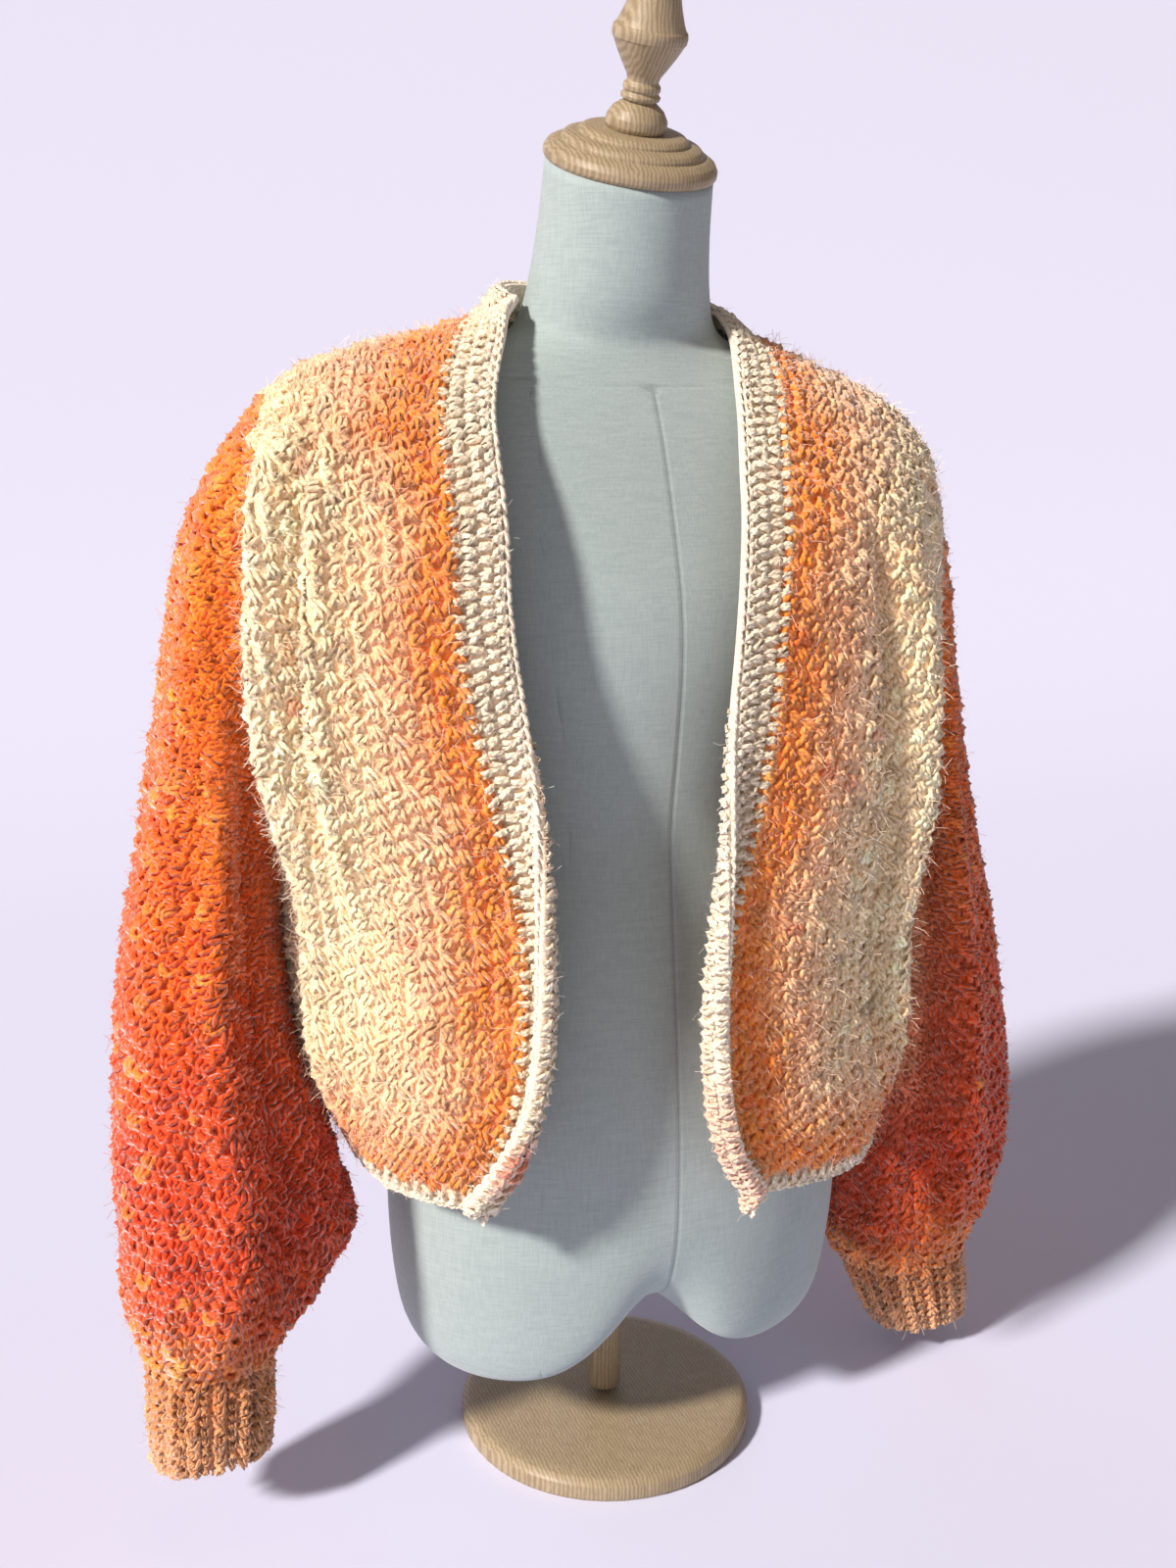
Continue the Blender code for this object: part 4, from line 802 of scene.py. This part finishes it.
def bandSurface(run, share, lift):
    # run: cm along the band, share: 0 at the panel to 1 at the free edge. The roll ends at the band's
    # width, and the flap goes on straight from there
    values = {k: np.stack([np.interp(run, path["run"], path[k][:, i]) for i in range(3)], -1)
              for k in ("point", "across", "normal", "along")}
    flap = band["flap"] * ease(1 - (run - band["flapStart"]) / band["flapFade"]) * ease(run / 1.5 + 0.3)
    reach = (band["width"] + flap) * np.interp(run, path["run"], path["width"]) * share
    width = np.minimum(reach, band["width"])
    bend = np.maximum(np.interp(run, path["run"], path["roll"]), 1e-4) / band["width"]
    turn = bend * width
    side, out = unit(values["across"]), unit(values["normal"])
    c, n = np.cos(turn)[..., None], np.sin(turn)[..., None]
    spot = values["point"] + side * n / bend[..., None] + out * band["flatness"] * (1 - c) / bend[..., None]
    spot = spot + (side * c + out * n * band["flatness"]) * (reach - width)[..., None]
    face = unit(out * c - side * n)
    return spot + face * np.asarray(lift)[..., None], face, unit(values["along"])


total = path["run"][-1]
runs = np.linspace(0, total, band["meshSteps"])[:, None]
shares = np.linspace(0.01, 1, band["meshAcross"])[None, :]
grid = runs + 0 * shares, shares + 0 * runs
# Two low ridges under the rows of posts, and a raised free edge
ridges = 0.10 * np.sin(np.pi * np.clip(grid[1] / 0.82, 0, 1) * 2) ** 2
ridges = ridges + 0.10 * np.clip((grid[1] - 0.84) / 0.1, 0, 1)
outer = bandSurface(*grid, ridges - 0.08)[0]
inner = bandSurface(*grid, -band["depth"] + 0 * ridges)[0]
bandShell = clothShell("frontBandCloth", outer, inner, ramp(yarnDyesAndShade["band"], grid[1]), False)
spots, edgeSpots = [], []
for share, inside, size, shift in band["rows"]:
    pitch = 1.0 if share < 0 else band["pitch"]
    run = np.arange(0.4 + shift * pitch, total - 0.3, pitch)
    if inside and share > 0.8:
        run = run[np.interp(run, path["run"], path["roll"]) > 0.2]
    n = len(run)
    at, face, forward = bandSurface(run, np.full(n, share), np.full(n, -band["depth"] if inside else 0.05))
    out = -face if inside else face
    wide = np.interp(run, path["run"], path["width"])
    tone = mottle(ramp(yarnDyesAndShade["band"], np.full(n, max(share, 0))), 0.45)
    if inside:
        warm = 0.7 * np.exp(-((run - band["patchAt"]) / 1.6) ** 2) + 0.3 * ease((run - total + 16) / 6)
        tone = blendTo(tone, yarnDyesAndShade["patch"], warm[:, None])
    row = stitchRow(at, np.cross(out, forward), out, (size * wide, 0.95, 1), (0.07, 0.07, 0.12), 12, 8)
    spots.append((*row, tone))
run = np.arange(0.3, total - 0.2, 0.92)
n = len(run)
at, face, forward = bandSurface(run, np.full(n, 0.93), np.full(n, 0.02))
edgeSpots.append((at, forward, face, np.stack([sway(n, 0.03), 0.9 * sway(n, 0.03), sway(n, 0.06)], -1),
                  mottle(ramp(yarnDyesAndShade["band"], np.full(n, 1.0)), 0.35)))
posts = {"Stitch size": 0.0098, "Strand radius": 0.24}
chain = {"Stitch size": 0.0094, "Strand radius": 0.20}
layers = [("Posts", "post", posts, spots), ("Chain", "chain", chain, edgeSpots)]
bandShell, bandPieces = dress(bandShell, "frontBand", "front_band", layers,
                              (band["hairs"], 0.7, 0.7))
print("front band", round(total, 1), "cm long")

# Hem edging: one row of posts and a chain below the panels
hem = dict(height=1.3, drawIn=0.18, depth=0.4, pitch=0.88, steps=260, hairs=1800)


def hemSurface(bearing, down, lift):
    edge, out = bodySurface(0 * bearing, bearing), bodyNormal(0 * bearing, bearing)
    spot = edge - np.asarray(down)[..., None] * np.array([0, 0, 1])
    spot = spot - out * (hem["drawIn"] * np.asarray(down))[..., None]
    return spot + out * np.asarray(lift)[..., None], out


start, stop = float(frontEnd("right", 0.0)) + 0.006, float(frontEnd("left", 0.0)) + 2 * np.pi - 0.006
turns = np.linspace(start, stop, hem["steps"])[:, None]
downs = np.linspace(0.03, hem["height"], 6)[None, :]
grid = turns + 0 * downs, downs + 0 * turns
outer = hemSurface(*grid, 0.06 * np.sin(np.pi * grid[1] / hem["height"]) - 0.06)[0]
inner = hemSurface(*grid, -hem["depth"] + 0 * grid[1])[0]
colours = ramp(yarnDyesAndShade["band"], grid[1] / hem["height"])
hemShell = clothShell("hemEdgingCloth", outer, inner, colours, False)
run = runAlong(hemSurface(turns[:, 0], 0 * turns[:, 0] + 0.6, 0 * turns[:, 0])[0])
spots, edgeSpots = [], []
for down, inside, target in ((0.5, False, spots), (0.55, True, spots), (1.16, False, edgeSpots)):
    at = np.arange(0.4, run[-1] - 0.3, hem["pitch"])
    bearing = np.interp(at, run, turns[:, 0])
    n = len(at)
    spot, out = hemSurface(bearing, np.full(n, down), np.full(n, -hem["depth"] if inside else 0.02))
    ahead, here = [hemSurface(bearing + step, np.full(n, down), np.full(n, 0.0))[0] for step in (0.005, 0.0)]
    forward = unit(ahead - here)
    out = -out if inside else out
    side = forward if target is edgeSpots else np.cross(out, forward)
    row = stitchRow(spot, side, out, (1, 0.9, 1), (0.06, 0.06, 0.1), 8)
    target.append((*row, mottle(ramp(yarnDyesAndShade["band"], np.full(n, 0.5)), 0.5)))
layers = [("Posts", "post", posts, spots), ("Chain", "chain", chain, edgeSpots)]
hemShell, hemPieces = dress(hemShell, "hem", "hem_edging", layers, (hem["hairs"], 0.7))

# Dress form
form = dict(
    z=(-1.5, -0.9, 0.9, 4.2, 9.0, 14.5, 20.5, 27.0, 35.0, 41.0, 47.0, 53.0, 58.0, 63.0, 67.5, 70.6, 72.58,
       73.96, 75.07, 76.2, 78.6, 82.5, 86.5),
    side=(13.6, 15.7, 17.2, 18.0, 18.4, 18.4, 17.6, 15.8, 13.8, 13.0, 13.9, 15.5, 16.8, 17.8, 18.2, 17.6,
          15.6, 12.4, 9.0, 7.3, 6.5, 6.0, 5.8),
    front=(8.2, 9.8, 10.7, 11.2, 11.5, 11.7, 11.5, 10.8, 9.9, 9.4, 10.2, 10.9, 10.6, 9.4, 8.0, 6.8, 5.9,
           5.4, 5.2, 5.3, 5.8, 5.7, 5.4),
    back=(8.0, 9.4, 10.3, 10.8, 11.3, 11.6, 11.4, 10.4, 8.8, 8.2, 8.8, 9.8, 10.4, 10.4, 9.6, 8.6, 7.6,
          6.8, 6.1, 6.2, 5.9, 5.6, 5.4),
    y=(0.2, 0.2, 0.2, 0.1, 0, 0, 0, 0, 0, 0, 0, 0, 0, 0.2, 0.4, 0.6, 0.8, 0.9, 0.9, 0.8, 0.5, -0.3, -1.2),
    power=(2.4, 2.4, 2.3, 2.2, 2.2, 2.1, 2.1, 2.1, 2.1, 2.1, 2.1, 2.2, 2.2, 2.3, 2.3, 2.2, 2.1,
           2.0, 2.0, 2.0, 2.0, 2.0, 2.0),
    rise=(0, 0, 0, 0, 0, 0, 0, 0, 0, 0, 0, 0, 0, 0, 0, 0, 0, 0, 0.05, 0.10, 0.16, 0.27, 0.392),
    archHeight=4.9, archMiddle=-1.2, archHalf=5.0, archFade=13.0, lean=0.8, cleft=0.22, cleftWidth=2.8,
    meshRows=88, meshCols=112)
neckTop = form["z"][-1]


def formSurface(level, angle):
    level, angle = np.broadcast_arrays(np.asarray(level, float), np.asarray(angle, float))
    c, s, power = np.cos(angle), np.sin(angle), smooth(form, "power", level)
    x = smooth(form, "side", level) * rounded(c, power)
    y = -np.where(s >= 0, smooth(form, "front", level), smooth(form, "back", level)) * rounded(s, power)
    low = smooth(form, "z", level)
    fade = np.maximum(0, 1 - low / form["archFade"]) ** 2
    y = y * (1 - form["cleft"] * fade * np.exp(-(x / form["cleftWidth"]) ** 2))
    arch = form["archHeight"] * np.exp(-np.abs((x - form["archMiddle"]) / form["archHalf"]) ** 1.9)
    z = low + fade * arch + smooth(form, "rise", level) * y
    return np.stack([x + form["lean"] * (1 - z / neckTop), y + smooth(form, "y", level), z], -1), x


# Woven linen cover, washed pale blue-grey: threads about 0.6 mm with slubs, drawn at 1.1 mm so they
# show. A seam is a dark line in a shallow groove
linen, tree, shader = newMaterial("wovenLinen", Roughness=0.88, Sheen_Weight=0.25, Specular_IOR_Level=0.2)
coords = addNode(tree, "ShaderNodeTexCoord").outputs["Object"]
threads = []
for scale in ((60, 60, 900), (900, 900, 60)):
    stretched = addNode(tree, "ShaderNodeMapping", {"Scale": scale}, {"Vector": coords})
    threads.append(addNode(tree, "ShaderNodeTexNoise", {"Scale": 1.0, "Detail": 3.0}, {"Vector": stretched}))
weave = addNode(tree, "ShaderNodeMixRGB", {"Fac": 0.5}, {"Color1": threads[0], "Color2": threads[1]})
tint = addNode(tree, "ShaderNodeValToRGB", None, {"Fac": weave})
tint.color_ramp.elements[0].position, tint.color_ramp.elements[1].position = 0.36, 0.62
tint.color_ramp.elements[0].color = (*linear("#9FAFB1"), 1)
tint.color_ramp.elements[1].color = (*linear("#AEBEBE"), 1)
seamLine = addNode(tree, "ShaderNodeAttribute", attribute_name="seam").outputs["Fac"]
seamDark = addNode(tree, "ShaderNodeMapRange", {"From Min": 0.0, "From Max": 0.16, "To Min": 0.72,
                                                "To Max": 1.0}, {"Value": seamLine})
covered = addNode(tree, "ShaderNodeMixRGB", {"Fac": 1.0}, {"Color1": tint, "Color2": seamDark},
                  blend_type="MULTIPLY")
tree.links.new(covered.outputs["Color"], shader.inputs["Base Color"])
seamBump = addNode(tree, "ShaderNodeMapRange", {"From Min": 0.0, "From Max": 0.3, "To Min": -2.0,
                                                "To Max": 0.0}, {"Value": seamLine})
heights = addNode(tree, "ShaderNodeMath", None, {0: weave, 1: seamBump}, operation="ADD")
bump = addNode(tree, "ShaderNodeBump", {"Strength": 0.5, "Distance": 0.0005}, {"Height": heights})
tree.links.new(bump.outputs["Normal"], shader.inputs["Normal"])

levels = np.linspace(0, len(form["z"]) - 1, form["meshRows"])[:, None]
angles = np.linspace(0, 2 * np.pi, form["meshCols"], endpoint=False)[None, :]
surface, flatX = formSurface(levels, angles)
z = surface[..., 2]
frontal = np.sin(angles) + 0 * levels
princess = np.interp(z, [0, 15, 41, 60, 72], [9.6, 10.0, 7.2, 9.4, 8.6])
neckLine = 74.3 - 2.2 * frontal
seams = np.minimum(np.abs(flatX), np.abs(np.abs(flatX) - princess))
seams = np.where(z > 71.5, np.minimum(np.where(z > neckLine, 9, seams), np.abs(z - neckLine)), seams)
sideSeam = np.where(z < neckLine, np.abs(surface[..., 1] - 0.4), 9)
seams = np.minimum(seams, sideSeam)
rows, cols = surface.shape[:2]
points = surface.reshape(-1, 3)
faces = gridFaces(rows, cols, cols)
# The underside is closed by strips from side to side, so that it keeps the arch
for j in range(cols // 2):
    corners = (j, j + 1, (cols - j - 1) % cols, (cols - j) % cols)
    faces.append(tuple(dict.fromkeys(corners)))
faces.append(tuple((rows - 1) * cols + j for j in range(cols)))
torso = meshPiece("linenTorso", points, faces, linen)
seams = seams.astype(np.float32).ravel()
torso.data.attributes.new("seam", "FLOAT", "POINT").data.foreach_set("value", seams)
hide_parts("torso_form")
print("dress form covered")

# Turned ash, sanded and waxed: open straight grain along the turning axis, satin
ash, tree, shader = newMaterial("waxedAsh", Roughness=0.48, Specular_IOR_Level=0.4, Coat_Weight=0.08,
                                Coat_Roughness=0.35)
grainAt = addNode(tree, "ShaderNodeAttribute", attribute_name="grain").outputs["Vector"]
stretched = addNode(tree, "ShaderNodeMapping", {"Scale": (1.0, 1.0, 0.16)}, {"Vector": grainAt})
figure = addNode(tree, "ShaderNodeTexNoise", {"Scale": 1.3, "Detail": 2.0, "Distortion": 0.4},
                 {"Vector": stretched})
rings = addNode(tree, "ShaderNodeTexWave",
                {"Scale": 1.1, "Distortion": 5.0, "Detail": 2.0, "Detail Scale": 1.5},
                {"Vector": stretched}, wave_type="BANDS", bands_direction="X")
pores = addNode(tree, "ShaderNodeMapping", {"Scale": (14.0, 14.0, 0.9)}, {"Vector": grainAt})
fleck = addNode(tree, "ShaderNodeTexNoise", {"Scale": 2.2, "Detail": 3.0}, {"Vector": pores})
blend = addNode(tree, "ShaderNodeMixRGB", {"Fac": 0.45}, {"Color1": rings.outputs["Fac"], "Color2": figure})
tone = addNode(tree, "ShaderNodeValToRGB", None, {"Fac": blend})
tone.color_ramp.elements[0].color = (*linear("#8C795C"), 1)
tone.color_ramp.elements[1].color = (*linear("#C2B294"), 1)
dark = addNode(tree, "ShaderNodeMapRange", {"From Min": 0.42, "From Max": 0.56, "To Min": 0.78,
                                            "To Max": 1.0}, {"Value": fleck})
wood = addNode(tree, "ShaderNodeMixRGB", {"Fac": 1.0}, {"Color1": tone, "Color2": dark},
               blend_type="MULTIPLY")
tree.links.new(wood.outputs["Color"], shader.inputs["Base Color"])
bump = addNode(tree, "ShaderNodeBump", {"Strength": 0.25, "Distance": 0.0002}, {"Height": fleck})
tree.links.new(bump.outputs["Normal"], shader.inputs["Normal"])

# Each profile is of radius and height in cm. The cap and finial stand square to the neck's sloping top
turnings = dict(
    neck_cap=dict(name="turnedNeckCap", tilted=True, profile=(
        (5.85, 0.0), (6.0, 0.22), (6.0, 0.6), (5.75, 1.0), (5.25, 1.28), (4.92, 1.34), (4.88, 1.52),
        (4.65, 1.76), (4.2, 1.9), (3.82, 1.94), (3.78, 2.1), (3.5, 2.32), (3.1, 2.4))),
    finial=dict(name="turnedFinial", tilted=True, profile=(
        (1.95, 2.43), (2.12, 2.7), (2.08, 3.2), (1.75, 3.75), (1.3, 4.1), (1.06, 4.25), (1.3, 4.38),
        (1.36, 4.6), (1.16, 4.82), (1.28, 5.0), (1.26, 5.25), (1.06, 5.5), (1.16, 5.85), (1.58, 6.5),
        (2.0, 7.2), (2.32, 7.82), (2.38, 7.95), (2.5, 8.08), (2.54, 8.4), (2.48, 8.72), (2.34, 8.86),
        (2.15, 9.25), (1.85, 10.1), (1.62, 10.9), (1.56, 11.5), (1.74, 11.7), (1.7, 12.0), (1.25, 12.2),
        (1.35, 12.7), (1.1, 13.3), (0.55, 13.65))),
    stand_base=dict(name="turnedBase", tilted=False, back=0, lift=-place["rise"], profile=(
        (11.6, 0.0), (11.8, 0.3), (11.8, 1.3), (11.3, 1.75), (10.6, 1.9), (2.6, 2.0))),
    stand_post=dict(name="turnedPost", tilted=False, back=0.2, lift=-8.57, profile=None),
    sides=48, tilt=21.4, gap=0.03, grainShift=7)
postTop = float(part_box("stand_post")[1][2]) * 100 - place["rise"] - turnings["stand_post"]["lift"]
turnings["stand_post"]["profile"] = ((1.3, 0.0), (1.3, postTop))

for node in ("neck_cap", "finial", "stand_base", "stand_post"):
    plan = turnings[node]
    outline = [(0.001, plan["profile"][0][1])]
    for a, b in zip(plan["profile"], plan["profile"][1:]):
        # Rings close to each end keep the edges crisp
        outline += [tuple(np.add(a, np.subtract(b, a) * t)) for t in (0.04, 0.5, 0.96)]
    outline = np.array(outline + [(0.001, plan["profile"][-1][1])])
    count = turnings["sides"]
    spin = np.linspace(0, 2 * np.pi, count, endpoint=False)
    radius, height = outline[:, None, 0], outline[:, None, 1]
    local = np.stack([radius * np.cos(spin), radius * np.sin(spin), height + 0 * spin], -1)
    if plan["tilted"]:
        lean = np.radians(turnings["tilt"])
        y, z = local[..., 1], local[..., 2] + turnings["gap"]
        points = np.stack([local[..., 0], form["y"][-1] + y * np.cos(lean) - z * np.sin(lean),
                           neckTop + y * np.sin(lean) + z * np.cos(lean)], -1)
    else:
        points = local + np.array([0, plan["back"], plan["lift"]])
    rows = len(outline)
    faces = gridFaces(rows, count, count)
    faces += [tuple(range(count))[::-1], tuple((rows - 1) * count + j for j in range(count))]
    piece = meshPiece(plan["name"], points.reshape(-1, 3), faces, ash)
    grain = (local.reshape(-1, 3) + (0 if plan["tilted"] else turnings["grainShift"])).astype(np.float32)
    piece.data.attributes.new("grain", "FLOAT_VECTOR", "POINT").data.foreach_set("vector", grain.ravel())
    piece.data.set_sharp_from_angle(angle=np.radians(38))
    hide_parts(node)
print("turnings made")
# Studio: pale lilac sweep, a low sun from the wearer's right and soft fill
studio = dict(wall="#DEE3FE", sun=4.6, sunColour="#FFF4EA", room="#F3E0D2", fill=0.22,
              near=-6.0, bendFrom=1.4, bend=2.0, half=7.0)
backdrop, tree, shader = newMaterial("paleLilacPaper", Roughness=0.95, Specular_IOR_Level=0.1)
shader.inputs["Base Color"].default_value = (*linear(studio["wall"]), 1)
sweep = bmesh.new()
curve = [(studio["bendFrom"] + studio["bend"] * np.sin(a), studio["bend"] - studio["bend"] * np.cos(a))
         for a in np.linspace(0.08, 0.8, 10)]
profile = [(studio["near"], 0.0), (studio["bendFrom"], 0.0)] + curve
profile.append((curve[-1][0] + 6.0, curve[-1][1] + 6.2))
strips = [[sweep.verts.new((x, y, z)) for y, z in profile] for x in (-studio["half"], studio["half"])]
for k in range(len(profile) - 1):
    sweep.faces.new((strips[0][k], strips[1][k], strips[1][k + 1], strips[0][k + 1]))
floorMesh = bpy.data.meshes.new("paperSweep")
sweep.to_mesh(floorMesh)
sweep.free()
floorMesh.shade_smooth()
floorMesh.materials.append(backdrop)
floor = bpy.data.objects.new("paperSweep", floorMesh)
bpy.context.scene.collection.objects.link(floor)

world = bpy.data.worlds.new("softRoom")
bpy.context.scene.world = world
world.use_nodes = True
world.node_tree.nodes["Background"].inputs["Color"].default_value = (*linear(studio["room"]), 1)
world.node_tree.nodes["Background"].inputs["Strength"].default_value = studio["fill"]


def addLight(name, kind, energy, colour, at, target, size):
    light = bpy.data.lights.new(name, kind)
    light.energy = energy
    light.color = linear(colour)
    if kind == "SUN":
        light.angle = np.radians(size)
    else:
        light.size = size
    lamp = bpy.data.objects.new(name, light)
    lamp.location = at
    lamp.rotation_euler = (Vector(target) - Vector(at)).to_track_quat("-Z", "Y").to_euler()
    bpy.context.scene.collection.objects.link(lamp)


addLight("windowSun", "SUN", studio["sun"], studio["sunColour"], (-3.5, -1.35, 3.1), (0, 0, 0.5), 6.0)
addLight("softFill", "AREA", 4.0, "#FFE6D2", (-1.2, -3.0, 1.8), (0, 0, 0.6), 2.0)
bpy.context.scene.view_settings.view_transform = "Standard"

# Camera at the photograph's place, fitted to the neck cap, finial and hips
view = dict(azimuth=-23.2, elevation=14.4, distance=122.6, lookAt=(0, 0, 42), pitch=0.4, yaw=-0.9,
            roll=0.6, lens=37.35)
az, el = np.radians(view["azimuth"]), np.radians(view["elevation"])
behind = np.array([np.sin(az) * np.cos(el), -np.cos(az) * np.cos(el), np.sin(el)])
eye = np.array(view["lookAt"]) + behind * view["distance"]
right = unit(np.cross(-behind, [0, 0, 1.0]))
upward = np.cross(right, -behind)
pitch, yaw, roll = np.radians([view["pitch"], view["yaw"], view["roll"]])
ahead = -behind * np.cos(pitch) + upward * np.sin(pitch)
ahead = ahead * np.cos(yaw) + right * np.sin(yaw)
right = unit(np.cross(ahead, [0, 0, 1.0]))
upward = np.cross(right, ahead)
right, upward = right * np.cos(roll) + upward * np.sin(roll), upward * np.cos(roll) - right * np.sin(roll)
lens = bpy.data.cameras.new("photoCamera")
lens.sensor_width = 36.0
lens.lens = view["lens"]
camera = bpy.data.objects.new("photoCamera", lens)
turnMatrix = Matrix(np.stack([right, upward, -ahead], -1).tolist()).to_4x4()
camera.matrix_world = Matrix.Translation(toWorld(eye).tolist()) @ turnMatrix
bpy.context.scene.collection.objects.link(camera)
bpy.context.scene.camera = camera
print("studio and camera ready")
